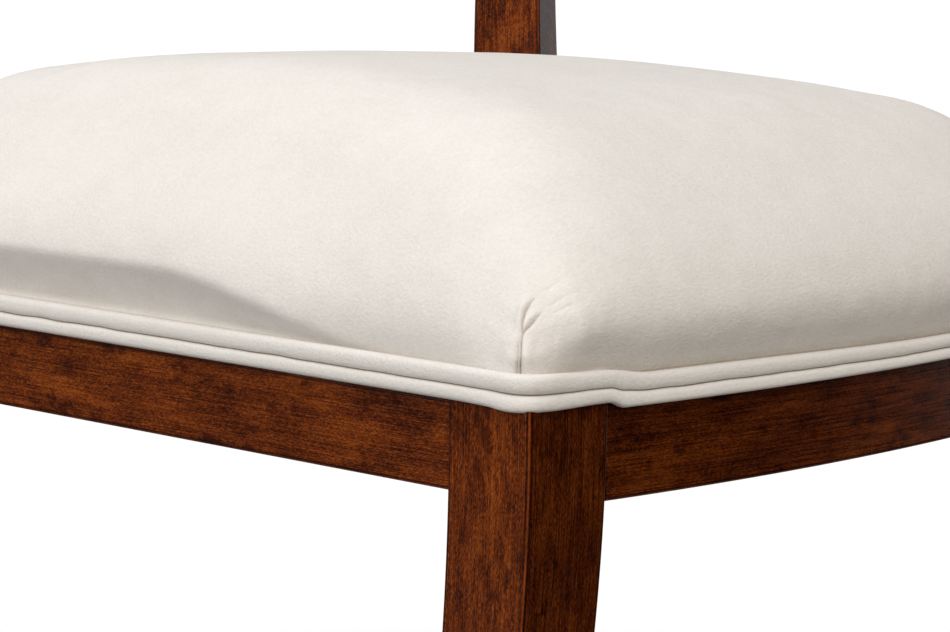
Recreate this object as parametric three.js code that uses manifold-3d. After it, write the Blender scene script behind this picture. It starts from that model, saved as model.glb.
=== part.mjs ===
// Klismos dining chair: sabre legs, one-piece rear posts, a concave crest rail and an upholstered seat.
// Millimetres, +Z up. The chair faces -Y, and its left is -X, as seen by a person standing in front of it.
import * as THREE from 'three';
import { mergeVertices } from 'three/addons/utils/BufferGeometryUtils.js';
import Module from 'manifold-3d';

const wasm = await Module();
wasm.setup();

// Fits: the gap left where pieces meet, and how far a cut runs past what it cuts
const clearance = 0.3;
const overrun = 2;
const weldTolerance = 0.0001;

// Seat frame: the seat plane lies on the rails and falls to the back
const seatWidth = 500;
const seatDepth = 430;
const seatHeight = 384;
const seatFallShare = 0.033;
const railHeight = 37;
const railThickness = 22;
const railSetback = 1.5;
const railEdgeRadius = 1.5;
const sideRailRadius = 1330;
const sideRailFlareDegrees = 1.3;

// Front legs: square at the top, thinner and swept forward at the floor
const frontLegWidth = 45;
const frontLegDepth = 45;
const frontFootWidth = 32;
const frontFootDepth = 30;
const frontLegSweep = 77;
const frontTaperPower = 1.25;
const sweepPower = 2;
const legEdgeRadius = 2.5;

// Rear posts: widest at the rails, turned in towards the middle, furthest forward just above the seat
const postTurnDegrees = 19;
const postInset = 17.6;
const postWidth = 48;
const postDepth = 29;
const postFootWidth = 33;
const postFootDepth = 27;
const postTopWidth = 32;
const postTopDepth = 19;
const postForwardHeight = 495;
const postFootSweep = 85;
const postTopSweep = 75;
const postTopRadius = 9;
const postBelowCrestTop = 16;

// Crest rail: a broad tablet, curved about the same upright axis as the posts
const crestTop = 872;
const crestHeight = 98;
const crestThickness = 20;
const crestOverhang = 32;
const crestEndRadius = 13;
const crestEdgeRadius = 4;
const crestRise = 6;

// Glides under the feet
const glideRadius = 11;
const glideHeight = 4;
const glideEdgeRadius = 1.2;
const glideStemRadius = 2;
const glideStemLength = 14;

// Dowels
const railDowelRadius = 4;
const railDowelLength = 36;
const railDowelSpacing = 17;
const postDowelDepth = 13;
const crestDowelRadius = 3.5;
const crestDowelLength = 24;
const crestDowelDepth = 12;
const crestDowelSpacing = 42;
const dowelChamfer = 1;

// Corner blocks and their screws
const blockLegLength = 74;
const blockHeight = 25;
const blockBelowSeat = 3;
const blockScrewFromEnd = 24;
const blockScrewRadius = 2;
const blockScrewLength = 30;
const blockScrewGrip = 15;
const screwHeadRadius = 4;
const screwHeadHeight = 2.5;
const seatScrewRadius = 2.2;
const seatScrewGrip = 9;
const seatScrewFromCorner = 31;
const blockTip = 10;
const blockPocketRoom = 1;

// Seat: board, foam, cover, welts and the cloth under the board
const boardThickness = 12.4;
const coverThickness = 1.6;
const coverInset = 2.5;
const cornerRadius = 12;
const foamWall = 82;
const foamCrown = 28;
const edgeRoll = 87;
const crownSidePower = 1.8;
const crownDepthPower = 2.8;
const crownPeakShare = -0.5;
const wallBulge = 5;
const bulgeReachPower = 8;
const weltCordRadius = 3.25;
const weltSeamShare = 0.55;
const weltLobeStartDegrees = -100;
const weltLobeEndDegrees = 50;
const dustCoverThickness = 0.8;
const dustCoverMargin = 12;

// How finely round forms are faceted
const legSteps = 17;
const postSteps = 26;
const cornerSteps = 2;
const railSteps = 12;
const crestSteps = 26;
const crestHeightSteps = 5;
const crestEndSteps = 4;
const dowelSides = 10;
const screwSides = 10;
const glideSides = 16;
const ringSteps = 10;
const sideSteps = 12;
const weltLobeSteps = 5;

const radians = THREE.MathUtils.degToRad;
const up = new THREE.Vector3(0, 0, 1);
const postTurn = radians(postTurnDegrees);
const halfSeatWidth = seatWidth / 2;
const legBottom = glideHeight + clearance;
const postTop = crestTop - postBelowCrestTop;
const railMiddle = seatHeight - seatFallShare * seatDepth - railHeight / 2;

// Centre of the circle that the outer face of the right side rail follows in plan
const flare = radians(sideRailFlareDegrees);
const sideCentreX = halfSeatWidth - railSetback - sideRailRadius * Math.cos(flare);
const sideCentreY = frontLegDepth + sideRailRadius * Math.sin(flare);

// Upright axis that the posts and the crest rail curve about; the posts stand inside the side rails
const backRadius = (sideX(seatDepth) - postInset) / Math.sin(postTurn);
const backAxisY = seatDepth - backRadius * Math.cos(postTurn);

function point(x, y, z) {
  return new THREE.Vector3(x, y, z);
}

function mix(from, to, share) {
  return from + (to - from) * share;
}

// Height of the seat plane at a place between front and back
function seatPlane(y) {
  return seatHeight - seatFallShare * y;
}

// Half width of the seat over the outer faces of its side rails; straight beside the front legs
function sideX(y) {
  const along = Math.max(y, frontLegDepth) - sideCentreY;
  return sideCentreX + Math.sqrt(sideRailRadius ** 2 - along ** 2);
}

function sideAngle(y) {
  return Math.asin((y - sideCentreY) / sideRailRadius);
}

// A closed surface through equal rings that run counterclockwise about the way they are stacked
function loft(rings) {
  const count = rings[0].length;
  const positions = rings.flat().flatMap((p) => [p.x, p.y, p.z]);
  const index = [];
  for (let level = 0; level + 1 < rings.length; level += 1) {
    for (let i = 0; i < count; i += 1) {
      const a = level * count + i;
      const b = level * count + ((i + 1) % count);
      index.push(a, b, b + count, a, b + count, a + count);
    }
  }
  [0, rings.length - 1].forEach((level, end) => {
    const centre = rings[level].reduce((sum, p) => sum.add(p), point(0, 0, 0)).divideScalar(count);
    const middle = positions.length / 3;
    positions.push(centre.x, centre.y, centre.z);
    for (let i = 0; i < count; i += 1) {
      const a = level * count + i;
      const b = level * count + ((i + 1) % count);
      index.push(middle, end ? a : b, end ? b : a);
    }
  });
  const geometry = new THREE.BufferGeometry();
  geometry.setAttribute('position', new THREE.Float32BufferAttribute(positions, 3));
  geometry.setIndex(index);
  return geometry;
}

// A rectangle with rounded corners, counterclockwise, as offsets from its middle; its two sides
// along the second offset can be divided
function roundedRectangle(width, depth, radius, divisions = 1) {
  const corners = [[1, 1], [-1, 1], [-1, -1], [1, -1]];
  return corners.flatMap(([sx, sy], quarter) => {
    const cx = sx * (width / 2 - radius);
    const cy = sy * (depth / 2 - radius);
    const arc = Array.from({ length: cornerSteps + 1 }, (_, step) => {
      const angle = (quarter + step / cornerSteps) * Math.PI / 2;
      return [cx + radius * Math.cos(angle), cy + radius * Math.sin(angle)];
    });
    const between = quarter % 2 ? divisions - 1 : 0;
    const side = Array.from({ length: between }, (_, step) => {
      return [sx * width / 2, mix(cy, -cy, (step + 1) / divisions)];
    });
    return [...arc, ...side];
  });
}

// Shared corners merged and faces without area left out
function welded(geometry) {
  const bare = geometry.clone();
  bare.deleteAttribute('normal');
  bare.deleteAttribute('uv');
  const merged = mergeVertices(bare, weldTolerance);
  const corners = merged.index.array;
  const kept = [];
  for (let i = 0; i < corners.length; i += 3) {
    const [a, b, c] = corners.slice(i, i + 3);
    if (a !== b && b !== c && c !== a) kept.push(a, b, c);
  }
  merged.setIndex(kept);
  return merged;
}

function toSolid(geometry) {
  const merged = welded(geometry);
  return new wasm.Manifold(new wasm.Mesh({
    numProp: 3,
    vertProperties: Float32Array.from(merged.attributes.position.array),
    triVerts: Uint32Array.from(merged.index.array),
  }));
}

function toGeometry(solid) {
  const mesh = solid.getMesh();
  const positions = [];
  for (let i = 0; i < mesh.numVert; i += 1) {
    const start = i * mesh.numProp;
    positions.push(...mesh.vertProperties.slice(start, start + 3));
  }
  const geometry = new THREE.BufferGeometry();
  geometry.setAttribute('position', new THREE.Float32BufferAttribute(positions, 3));
  geometry.setIndex([...mesh.triVerts]);
  return geometry;
}

// The piece less everything in the list of cutters
function cut(geometry, cutters) {
  const solid = cutters.reduce((rest, cutter) => rest.subtract(toSolid(cutter)), toSolid(geometry));
  return toGeometry(solid);
}

// The same piece on the other side of the chair
function mirrored(geometry) {
  const copy = welded(geometry).scale(-1, 1, 1);
  const corners = [...copy.index.array];
  for (let i = 0; i < corners.length; i += 3) {
    [corners[i], corners[i + 1]] = [corners[i + 1], corners[i]];
  }
  copy.setIndex(corners);
  return copy;
}

function onBothSides(geometries) {
  return [...geometries, ...geometries.map(mirrored)];
}

// A turned piece whose profile of [radius, height] starts at a point and runs along a direction
function turned(profile, sides, start, direction) {
  const lathe = new THREE.LatheGeometry(profile.map(([r, h]) => new THREE.Vector2(r, h)), sides);
  const turn = new THREE.Quaternion().setFromUnitVectors(point(0, 1, 0), direction.clone().normalize());
  lathe.applyQuaternion(turn);
  lathe.translate(start.x, start.y, start.z);
  return welded(lathe);
}

function rod(start, direction, length, radius, sides) {
  return turned([[0, 0], [radius, 0], [radius, length], [0, length]], sides, start, direction);
}

// Front leg of the right side; grow makes the fatter copy that cuts its neighbours
function frontLeg(grow) {
  const rings = Array.from({ length: legSteps }, (_, level) => {
    const share = 1 - level / (legSteps - 1);
    const taper = share ** frontTaperPower;
    const width = mix(frontLegWidth, frontFootWidth, taper) + 2 * grow;
    const depth = mix(frontLegDepth, frontFootDepth, taper) + 2 * grow;
    const front = -frontLegSweep * share ** sweepPower - grow;
    const outline = roundedRectangle(width, depth, legEdgeRadius + grow);
    return outline.map(([dx, dy]) => {
      const y = front + depth / 2 + dy;
      const z = mix(seatPlane(y) + grow, legBottom - grow, share);
      return point(halfSeatWidth - frontLegWidth / 2 + dx, y, z);
    });
  });
  return loft(rings);
}

// How far the rear post lies behind its foremost place
function postSweep(z) {
  if (z < postForwardHeight) {
    return postFootSweep * ((postForwardHeight - z) / postForwardHeight) ** sweepPower;
  }
  return postTopSweep * ((z - postForwardHeight) / (crestTop - postForwardHeight)) ** sweepPower;
}

// Width or depth of the rear post: full at the rails, easing to its foot and its top
function postSize(z, foot, middle, top) {
  const end = z < railMiddle ? foot : top;
  const reach = z < railMiddle ? railMiddle : postTop - railMiddle;
  const share = Math.abs(z - railMiddle) / reach;
  return mix(middle, end, 1 - (1 - share) ** 2);
}

// Place on the back's upright curve: radius from its axis, angle from the middle of the chair
function backPoint(radius, angle, z) {
  return point(radius * Math.sin(angle), backAxisY + radius * Math.cos(angle), z);
}

const postOutward = point(Math.cos(postTurn), -Math.sin(postTurn), 0);
const postBackward = point(Math.sin(postTurn), Math.cos(postTurn), 0);

// A corner or inner place of the right post: outward across its front face, backward from that face
function postPlace(outward, backward, z) {
  return backPoint(backRadius + postSweep(z) + backward, postTurn, z).addScaledVector(postOutward, outward);
}

function rearPost(grow) {
  const rings = [];
  for (let level = 0; level < postSteps; level += 1) {
    const rounding = postTop - postTopRadius;
    const share = level / (postSteps - 1);
    const z = mix(legBottom - grow, rounding, share);
    rings.push(postRing(z, 0, grow));
  }
  for (let step = 1; step <= cornerSteps; step += 1) {
    const angle = (step / cornerSteps) * Math.PI / 2;
    const z = postTop + grow - (postTopRadius + grow) * (1 - Math.sin(angle));
    rings.push(postRing(z, postTopRadius * (1 - Math.cos(angle)), grow));
  }
  return loft(rings);
}

// One level of the post, drawn in where its top is rounded
function postRing(z, drawnIn, grow) {
  const width = postSize(z, postFootWidth, postWidth, postTopWidth) + 2 * grow - 2 * drawnIn;
  const fullDepth = postSize(z, postFootDepth, postDepth, postTopDepth) + 2 * grow;
  const depth = fullDepth - drawnIn;
  const outline = roundedRectangle(width, depth, legEdgeRadius + grow);
  return outline.map(([dx, dy]) => postPlace(dx, dy + depth / 2 - grow, z));
}

// The corner behind and outside the right post's inner front edge, cut from what the post passes through
function postNotch(gap) {
  const low = seatPlane(seatDepth) - 2 * railHeight;
  const high = postForwardHeight + foamWall + foamCrown;
  const reach = postWidth + postDepth + railThickness;
  const rings = Array.from({ length: postSteps }, (_, level) => {
    const z = mix(low, high, level / (postSteps - 1));
    const inner = -postSize(z, postFootWidth, postWidth, postTopWidth) / 2 - gap;
    const corners = [[inner, -gap], [inner + reach, -gap], [inner + reach, reach], [inner, reach]];
    return corners.map(([outward, backward]) => postPlace(outward, backward, z));
  });
  return loft(rings);
}

// A straight rail across the chair, run on into its neighbours, which then cut it
function crossRail(end, middleY, grow) {
  const section = roundedRectangle(railThickness + 2 * grow, railHeight + 2 * grow, railEdgeRadius + grow);
  return loft([-end, end].map((x) => section.map(([dy, dz]) => {
    const y = middleY + dy;
    return point(x, y, seatPlane(y) - railHeight / 2 + dz);
  })));
}

const frontRailY = railSetback + railThickness / 2;
const backRailPlace = postPlace(-postWidth / 2, postDepth / 2, railMiddle);
const backRailEnd = postPlace(0, postDepth / 2, railMiddle).x;

function frontRail(grow) {
  return crossRail(halfSeatWidth - frontLegWidth / 2, frontRailY, grow);
}

function backRail(grow) {
  return crossRail(backRailEnd, backRailPlace.y, grow);
}

// A place on the right side rail: its angle in plan, how far inside its outer face, and its height
function sidePlace(angle, inside, above) {
  const radius = sideRailRadius - inside;
  const y = sideCentreY + radius * Math.sin(angle);
  return point(sideCentreX + radius * Math.cos(angle), y, seatPlane(y) + above);
}

function sideRail(grow) {
  const start = sideAngle(frontLegDepth / 2);
  const end = sideAngle(seatDepth + postDepth);
  const section = roundedRectangle(railThickness + 2 * grow, railHeight + 2 * grow, railEdgeRadius + grow);
  return loft(Array.from({ length: railSteps + 1 }, (_, step) => {
    const angle = mix(end, start, step / railSteps);
    return section.map(([outward, dz]) => sidePlace(angle, railThickness / 2 - outward, dz - railHeight / 2));
  }));
}

// The crest rail's section at one angle: a tablet that follows the lean of the posts
function crestRing(angle, reach) {
  const rest = Math.min((reach - Math.abs(angle)) * backRadius, crestEndRadius);
  const rounding = crestEndRadius - Math.sqrt(crestEndRadius ** 2 - (crestEndRadius - rest) ** 2);
  const top = crestTop - crestRise * (angle / reach) ** 2 - rounding;
  const bottom = crestTop - crestHeight + rounding;
  const thinned = Math.max(crestEdgeRadius - rest, 0);
  const outline = roundedRectangle(crestThickness - thinned, top - bottom, crestEdgeRadius, crestHeightSteps);
  return outline.map(([forward, dz]) => {
    const z = (top + bottom) / 2 + dz;
    const back = backRadius + postSweep(z) - clearance;
    return backPoint(back - crestThickness / 2 - forward, angle, z);
  });
}

function crestRail() {
  const reach = postTurn + crestOverhang / backRadius;
  const rounded = crestEndRadius / backRadius;
  const end = Array.from({ length: crestEndSteps }, (_, step) => {
    return reach - rounded * (1 - Math.cos((step / crestEndSteps) * Math.PI / 2));
  });
  const middle = Array.from({ length: crestSteps + 1 }, (_, step) => {
    return (reach - rounded) * (1 - 2 * step / crestSteps);
  });
  const angles = [...end, ...middle, ...end.map((angle) => -angle).reverse()];
  return loft(angles.map((angle) => crestRing(angle, reach)));
}

// A dowel with chamfered ends
function dowel({ start, direction, length, radius }) {
  const inner = radius - dowelChamfer;
  const profile = [[0, 0], [inner, 0], [radius, dowelChamfer]];
  profile.push([radius, length - dowelChamfer], [inner, length], [0, length]);
  return turned(profile, dowelSides, start, direction);
}

// The blind hole that a dowel, a shank or a stem sits in
function holeFor({ start, direction, length, radius }) {
  const way = direction.clone().normalize();
  const from = start.clone().addScaledVector(way, -clearance);
  return rod(from, way, length + 2 * clearance, radius + clearance, dowelSides);
}

// Two dowels one above the other, through a joint and this far into the second piece
function railDowels(joint, direction, intoSecond) {
  return [-1, 1].map((side) => {
    const start = joint.clone().addScaledVector(direction, intoSecond - railDowelLength);
    start.z += side * railDowelSpacing / 2;
    return { start, direction, length: railDowelLength, radius: railDowelRadius };
  });
}

function frontRailDowels() {
  const joint = point(halfSeatWidth - frontLegWidth, frontRailY, seatPlane(frontRailY) - railHeight / 2);
  return railDowels(joint, point(1, 0, 0), railDowelLength / 2);
}

function backRailDowels() {
  const joint = backRailPlace.clone();
  joint.z = seatPlane(joint.y) - railHeight / 2;
  return railDowels(joint, point(1, 0, 0), railDowelLength / 2);
}

function sideRailFrontDowels() {
  const angle = sideAngle(frontLegDepth);
  const joint = sidePlace(angle, railThickness / 2, -railHeight / 2);
  return railDowels(joint, point(Math.sin(angle), -Math.cos(angle), 0), railDowelLength / 2);
}

// The rail's middle line meets the front plane of the post at this angle of the rail's circle
function sideRailRearDowels() {
  const face = postPlace(0, 0, railMiddle);
  const toFace = point(face.x - sideCentreX, face.y - sideCentreY, 0).dot(postBackward);
  const angle = Math.asin(toFace / (sideRailRadius - railThickness / 2)) - postTurn;
  const joint = sidePlace(angle, railThickness / 2, -railHeight / 2);
  return railDowels(joint, point(-Math.sin(angle), Math.cos(angle), 0), postDowelDepth);
}

// Dowels from the post into the back of the crest rail
function crestDowels() {
  const middle = mix(crestTop - crestHeight, postTop, 0.5);
  return [-1, 1].map((side) => {
    const start = postPlace(0, -crestDowelDepth, middle + side * crestDowelSpacing / 2);
    return { start, direction: postBackward, length: crestDowelLength, radius: crestDowelRadius };
  });
}

// A screw from its tip to its head
function screw({ start, direction, length, radius }) {
  const head = length + screwHeadHeight;
  const profile = [[0, 0], [radius, 2 * radius], [radius, length], [screwHeadRadius, length]];
  profile.push([screwHeadRadius, length + screwHeadHeight / 2], [screwHeadRadius / 2, head], [0, head]);
  return turned(profile, screwSides, start, direction);
}

// A corner of the seat frame: where its inner faces meet, along each rail, and into each rail
const innerCorner = {
  front() {
    const place = sidePlace(sideAngle(frontRailY + railThickness / 2), railThickness, 0);
    place.y = frontRailY + railThickness / 2;
    return blockCorner(place, sideAngle(place.y + blockLegLength / 2), 1);
  },
  back() {
    const y = backRailPlace.y - railThickness / 2;
    const angle = Math.asin((y - sideCentreY) / (sideRailRadius - railThickness));
    const place = sidePlace(angle, railThickness, 0);
    return blockCorner(place, sideAngle(y - blockLegLength / 2), -1);
  },
};

function blockCorner(place, angle, way) {
  const alongSide = point(-Math.sin(angle), Math.cos(angle), 0).multiplyScalar(way);
  return {
    place,
    alongSide,
    alongEnd: point(-1, 0, 0),
    intoSide: point(Math.cos(angle), Math.sin(angle), 0),
    intoEnd: point(0, -way, 0),
    top: seatPlane(Math.max(place.y, place.y + alongSide.y * blockLegLength)) - blockBelowSeat,
  };
}

// A place in a corner block, measured along both rails from the corner
function blockPlace(corner, end, side, z) {
  const place = corner.place.clone().addScaledVector(corner.alongEnd, end);
  place.addScaledVector(corner.alongSide, side);
  place.z = z;
  return place;
}

// The two screws of a corner block, each from its tip in a rail to its head in the block
function blockScrews(corner) {
  const along = blockLegLength - blockScrewFromEnd;
  const z = corner.top - blockHeight / 2;
  const places = [[along, 0, corner.intoEnd], [0, along, corner.intoSide]];
  return places.map(([end, side, into]) => {
    const start = blockPlace(corner, end, side, z).addScaledVector(into, blockScrewLength - blockScrewGrip);
    const direction = into.clone().negate();
    return { start, direction, length: blockScrewLength + clearance, radius: blockScrewRadius };
  });
}

// The screw that goes up through a corner block into the seat board
function seatScrew(corner) {
  const under = corner.top - blockHeight - clearance;
  const head = blockPlace(corner, seatScrewFromCorner, seatScrewFromCorner, under);
  const tip = head.clone();
  tip.z = seatPlane(head.y) + clearance + seatScrewGrip;
  return { start: tip, direction: point(0, 0, -1), length: tip.z - head.z, radius: seatScrewRadius };
}

function cornerBlock(corner, neighbours) {
  const outline = [[-overrun, -overrun], [blockLegLength, -overrun], [blockLegLength, blockTip]];
  outline.push([blockTip, blockLegLength], [-overrun, blockLegLength]);
  const shape = new THREE.Shape(outline.map(([end, side]) => {
    const place = blockPlace(corner, end, side, 0);
    return new THREE.Vector2(place.x, place.y);
  }));
  const prism = new THREE.ExtrudeGeometry(shape, { depth: blockHeight, bevelEnabled: false });
  prism.translate(0, 0, corner.top - blockHeight);
  const pockets = blockScrews(corner).map(({ start, direction, length }) => {
    const seat = start.clone().addScaledVector(direction, length - clearance);
    return rod(seat, direction, blockLegLength, screwHeadRadius + blockPocketRoom, screwSides);
  });
  const screws = [...blockScrews(corner), seatScrew(corner)].map(holeFor);
  return cut(prism, [...neighbours, ...screws, ...pockets]);
}

// Raises a piece modelled flat onto the seat plane
function onSeat(geometry) {
  const position = geometry.attributes.position;
  for (let i = 0; i < position.count; i += 1) {
    position.setZ(i, position.getZ(i) + seatPlane(position.getY(i)));
  }
  return geometry;
}

const seatRear = backRailPlace.y + railThickness / 2 + railSetback;

// Power of the superellipse whose corner is cut as deep as a round one of this radius
function cornerPower(radius) {
  return Math.log(0.5) / Math.log(1 - radius * (1 - Math.SQRT1_2) / halfSeatWidth);
}

// Place on the seat in plan: a and b run from -1 to 1 across it and from front to back, on a square
// whose corners are rounded, at a share of the way from the middle to the edge
function seatPlace(a, b, share, inset) {
  const power = cornerPower(mix(edgeRoll, cornerRadius, share));
  const rounded = share * (Math.abs(a) ** power + Math.abs(b) ** power) ** (-1 / power);
  const halfDepth = seatRear / 2 - inset;
  const y = inset + halfDepth * (1 + b * rounded);
  return [a * rounded * (sideX(y) + railSetback - inset), y];
}

// Places round the square, counterclockwise from its right front corner and closer near corners
const square = [0, 1, 2, 3].flatMap((side) => Array.from({ length: sideSteps }, (_, step) => {
  const along = Math.sin((step / sideSteps - 0.5) * Math.PI);
  return [[1, along], [-along, 1], [-1, -along], [along, -1]][side];
}));

function seatOutline(inset) {
  return square.map(([a, b]) => seatPlace(a, b, 1, inset));
}

function seatPanel(inset, bottom, thickness) {
  const shape = new THREE.Shape(seatOutline(inset).map(([x, y]) => new THREE.Vector2(x, y)));
  const panel = new THREE.ExtrudeGeometry(shape, { depth: thickness, bevelEnabled: false });
  return onSeat(panel.translate(0, 0, bottom));
}

// Share of the wall's height reached at a distance inside the seat's edge: a quarter round
function rollShare(distance) {
  const share = Math.min(distance / edgeRoll, 1);
  return Math.sqrt(1 - (1 - share) ** 2);
}

// Height share of the crown over the walls, highest a little in front of the middle
function crownShare(a, b) {
  const reach = b > crownPeakShare ? 1 - crownPeakShare : 1 + crownPeakShare;
  const fromPeak = Math.abs(b - crownPeakShare) / reach;
  return (1 - Math.abs(a) ** crownSidePower) * (1 - fromPeak ** crownDepthPower);
}

// A ring of the cushion's surface at a share of the way from its middle to its edge
function cushionRing(share, inset, wall) {
  return square.map(([a, b]) => {
    const [x, y] = seatPlace(a, b, share, inset);
    const sideRoll = rollShare((1 - Math.abs(a) * share) * (halfSeatWidth - inset));
    const roll = sideRoll * rollShare((1 - Math.abs(b) * share) * (seatRear / 2 - inset));
    const swell = wallBulge * Math.sin(Math.PI * roll);
    const outX = swell * Math.sign(a) * Math.abs(a) ** bulgeReachPower;
    const outY = swell * Math.sign(b) * Math.abs(b) ** bulgeReachPower;
    const z = boardTop + wall * roll + foamCrown * crownShare(a * share, b * share);
    return point(x + outX, y + outY, z);
  });
}

const boardTop = clearance + boardThickness;

// Rings of the cushion's surface from its edge to its middle
function cushionRings(inset, wall) {
  return Array.from({ length: ringSteps }, (_, step) => {
    return cushionRing(Math.cos((step / ringSteps) * Math.PI / 2), inset, wall);
  });
}

function raisedRing(ring, z) {
  return ring.map((p) => point(p.x, p.y, z));
}

function seatFoam(notches) {
  const inset = coverInset + coverThickness + clearance;
  const rings = cushionRings(inset, foamWall).map((ring) => ring.map((p) => p.setZ(p.z + clearance)));
  return cut(onSeat(loft(rings)), notches);
}

// The cover: a skin over the foam and down the edge of the board, open below
function seatCover() {
  const skirt = [clearance, boardTop];
  const skin = (inset, wall) => {
    const rings = cushionRings(inset, wall);
    return [raisedRing(rings[0], skirt[0]), ...rings];
  };
  const outer = onSeat(loft(skin(coverInset, foamWall + 2 * clearance + coverThickness)));
  const inner = skin(coverInset + coverThickness, foamWall + 2 * clearance);
  const below = raisedRing(inner[0], skirt[0] - overrun);
  const hollow = onSeat(loft([below, ...inner]));
  const outerNotches = onBothSides([postNotch(clearance)]);
  const innerNotches = onBothSides([postNotch(clearance + coverThickness)]);
  const innerSolid = cut(hollow, innerNotches);
  return cut(outer, [...outerNotches, innerSolid]);
}

// The double welt's section on offsets [outward, up]: two cords side by side with a groove between
function weltSection() {
  const r = weltCordRadius;
  const lobe = (height, from, to) => Array.from({ length: weltLobeSteps + 1 }, (_, step) => {
    const angle = radians(mix(from, to, step / weltLobeSteps));
    return [r + r * Math.cos(angle), height + r * Math.sin(angle)];
  });
  const groove = [2 * r * weltSeamShare, 2 * r];
  const back = [[0, 4 * r - r / 2], [0, r / 2]];
  const start = weltLobeStartDegrees;
  const end = weltLobeEndDegrees;
  return [...lobe(r, start, end), groove, ...lobe(3 * r, -end, -start), ...back];
}

// A strip with the welt's section along a path of [x, y, outward x, outward y]
function welt(path, notches) {
  const section = weltSection();
  const rings = path.map(([x, y, outX, outY]) => section.map(([outward, above]) => {
    return point(x + outX * outward, y + outY * outward, above + clearance);
  }));
  return cut(onSeat(loft(rings)), notches);
}

// From the right rear corner of the seat round its front to the left rear corner
function frontWeltPath() {
  const outline = seatOutline(coverInset - clearance);
  const count = outline.length;
  const path = outline.map(([x, y], i) => {
    const [x0, y0] = outline[(i + count - 1) % count];
    const [x1, y1] = outline[(i + 1) % count];
    const length = Math.hypot(x1 - x0, y1 - y0);
    return [x, y, (y1 - y0) / length, (x0 - x1) / length];
  });
  return [...path.slice(0, sideSteps + 1).reverse(), ...path.slice(2 * sideSteps).reverse()];
}

function backWeltPath() {
  const y = seatRear - coverInset + clearance;
  return [-backRailEnd, backRailEnd].map((x) => [x, y, 0, 1]);
}

function glide({ start }) {
  const inner = glideRadius - glideEdgeRadius;
  const profile = [[0, 0], [inner, 0], [glideRadius, glideEdgeRadius], [glideRadius, glideHeight]];
  profile.push([glideStemRadius, glideHeight], [glideStemRadius, glideHeight + glideStemLength]);
  profile.push([0, glideHeight + glideStemLength]);
  return turned(profile, glideSides, start, up);
}

function glideHole({ start }) {
  const length = glideHeight + glideStemLength;
  return holeFor({ start, direction: up, length, radius: glideStemRadius });
}

const feet = {
  front: { start: point(halfSeatWidth - frontLegWidth / 2, frontFootDepth / 2 - frontLegSweep, 0) },
  rear: { start: postPlace(0, postFootDepth / 2, legBottom).setZ(0) },
};

const finishes = {
  wood: { color: 0x5f2c15, roughness: 0.38, metalness: 0 },
  innerWood: { color: 0xb58a5a, roughness: 0.75, metalness: 0 },
  plywood: { color: 0xc49c6c, roughness: 0.8, metalness: 0 },
  steel: { color: 0x8d8f92, roughness: 0.35, metalness: 1 },
  foam: { color: 0xe6d9b8, roughness: 0.95, metalness: 0 },
  velvet: { color: 0xe9e4dd, roughness: 0.9, metalness: 0 },
  cambric: { color: 0x1d1d1f, roughness: 0.95, metalness: 0 },
  plastic: { color: 0x2a211d, roughness: 0.5, metalness: 0 },
};

const chair = new THREE.Group();

function add(name, geometry, finish) {
  const mesh = new THREE.Mesh(geometry, new THREE.MeshStandardMaterial(finishes[finish]));
  mesh.name = name;
  chair.add(mesh);
}

// The same right-hand piece on the right, and mirrored on the left
function addPair(name, geometry, finish) {
  add(`${name}_right`, geometry, finish);
  add(`${name}_left`, mirrored(geometry), finish);
}

const corners = { front: innerCorner.front(), back: innerCorner.back() };
const jointDowels = {
  front_rail: frontRailDowels(),
  side_rail_front: sideRailFrontDowels(),
  side_rail_rear: sideRailRearDowels(),
  back_rail: backRailDowels(),
  crest: crestDowels(),
};
const dowelHoles = Object.fromEntries(Object.entries(jointDowels).map(([name, list]) => {
  return [name, list.map(holeFor)];
}));
const screwHoles = {
  front: blockScrews(corners.front).map(holeFor),
  back: blockScrews(corners.back).map(holeFor),
};
const notch = postNotch(clearance);
const notches = onBothSides([notch]);
const legCutter = frontLeg(clearance);

function addFrame() {
  const legHoles = [...dowelHoles.front_rail, ...dowelHoles.side_rail_front, glideHole(feet.front)];
  addPair('front_leg', cut(frontLeg(0), legHoles), 'wood');
  const railHoles = [...dowelHoles.side_rail_rear, ...dowelHoles.back_rail];
  const postHoles = [...railHoles, ...dowelHoles.crest, glideHole(feet.rear)];
  addPair('rear_post', cut(rearPost(0), postHoles), 'wood');
  const frontCutters = [legCutter, ...dowelHoles.front_rail, screwHoles.front[0]];
  add('front_rail', cut(frontRail(0), onBothSides(frontCutters)), 'wood');
  const backCutters = [notch, ...dowelHoles.back_rail, screwHoles.back[0]];
  add('back_rail', cut(backRail(0), onBothSides(backCutters)), 'wood');
  const sideHoles = [...dowelHoles.side_rail_front, ...dowelHoles.side_rail_rear];
  const sideCutters = [legCutter, notch, ...sideHoles, screwHoles.front[1], screwHoles.back[1]];
  addPair('side_rail', cut(sideRail(0), sideCutters), 'wood');
  add('crest_rail', cut(crestRail(), onBothSides(dowelHoles.crest)), 'wood');
}

function addJoinery() {
  Object.entries(jointDowels).forEach(([joint, list]) => list.forEach((place, i) => {
    addPair(`dowel_${joint}_${['lower', 'upper'][i]}`, dowel(place), 'innerWood');
  }));
  const sideCutter = sideRail(clearance);
  const neighbours = {
    front: [legCutter, frontRail(clearance), sideCutter],
    back: [notch, backRail(clearance), sideCutter],
  };
  Object.entries(corners).forEach(([place, corner]) => {
    addPair(`corner_block_${place}`, cornerBlock(corner, neighbours[place]), 'innerWood');
    blockScrews(corner).forEach((placed, i) => {
      addPair(`block_screw_${place}_${['end', 'side'][i]}`, screw(placed), 'steel');
    });
    addPair(`seat_screw_${place}`, screw(seatScrew(corner)), 'steel');
  });
  Object.entries(feet).forEach(([place, foot]) => addPair(`glide_${place}`, glide(foot), 'plastic'));
}

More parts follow.
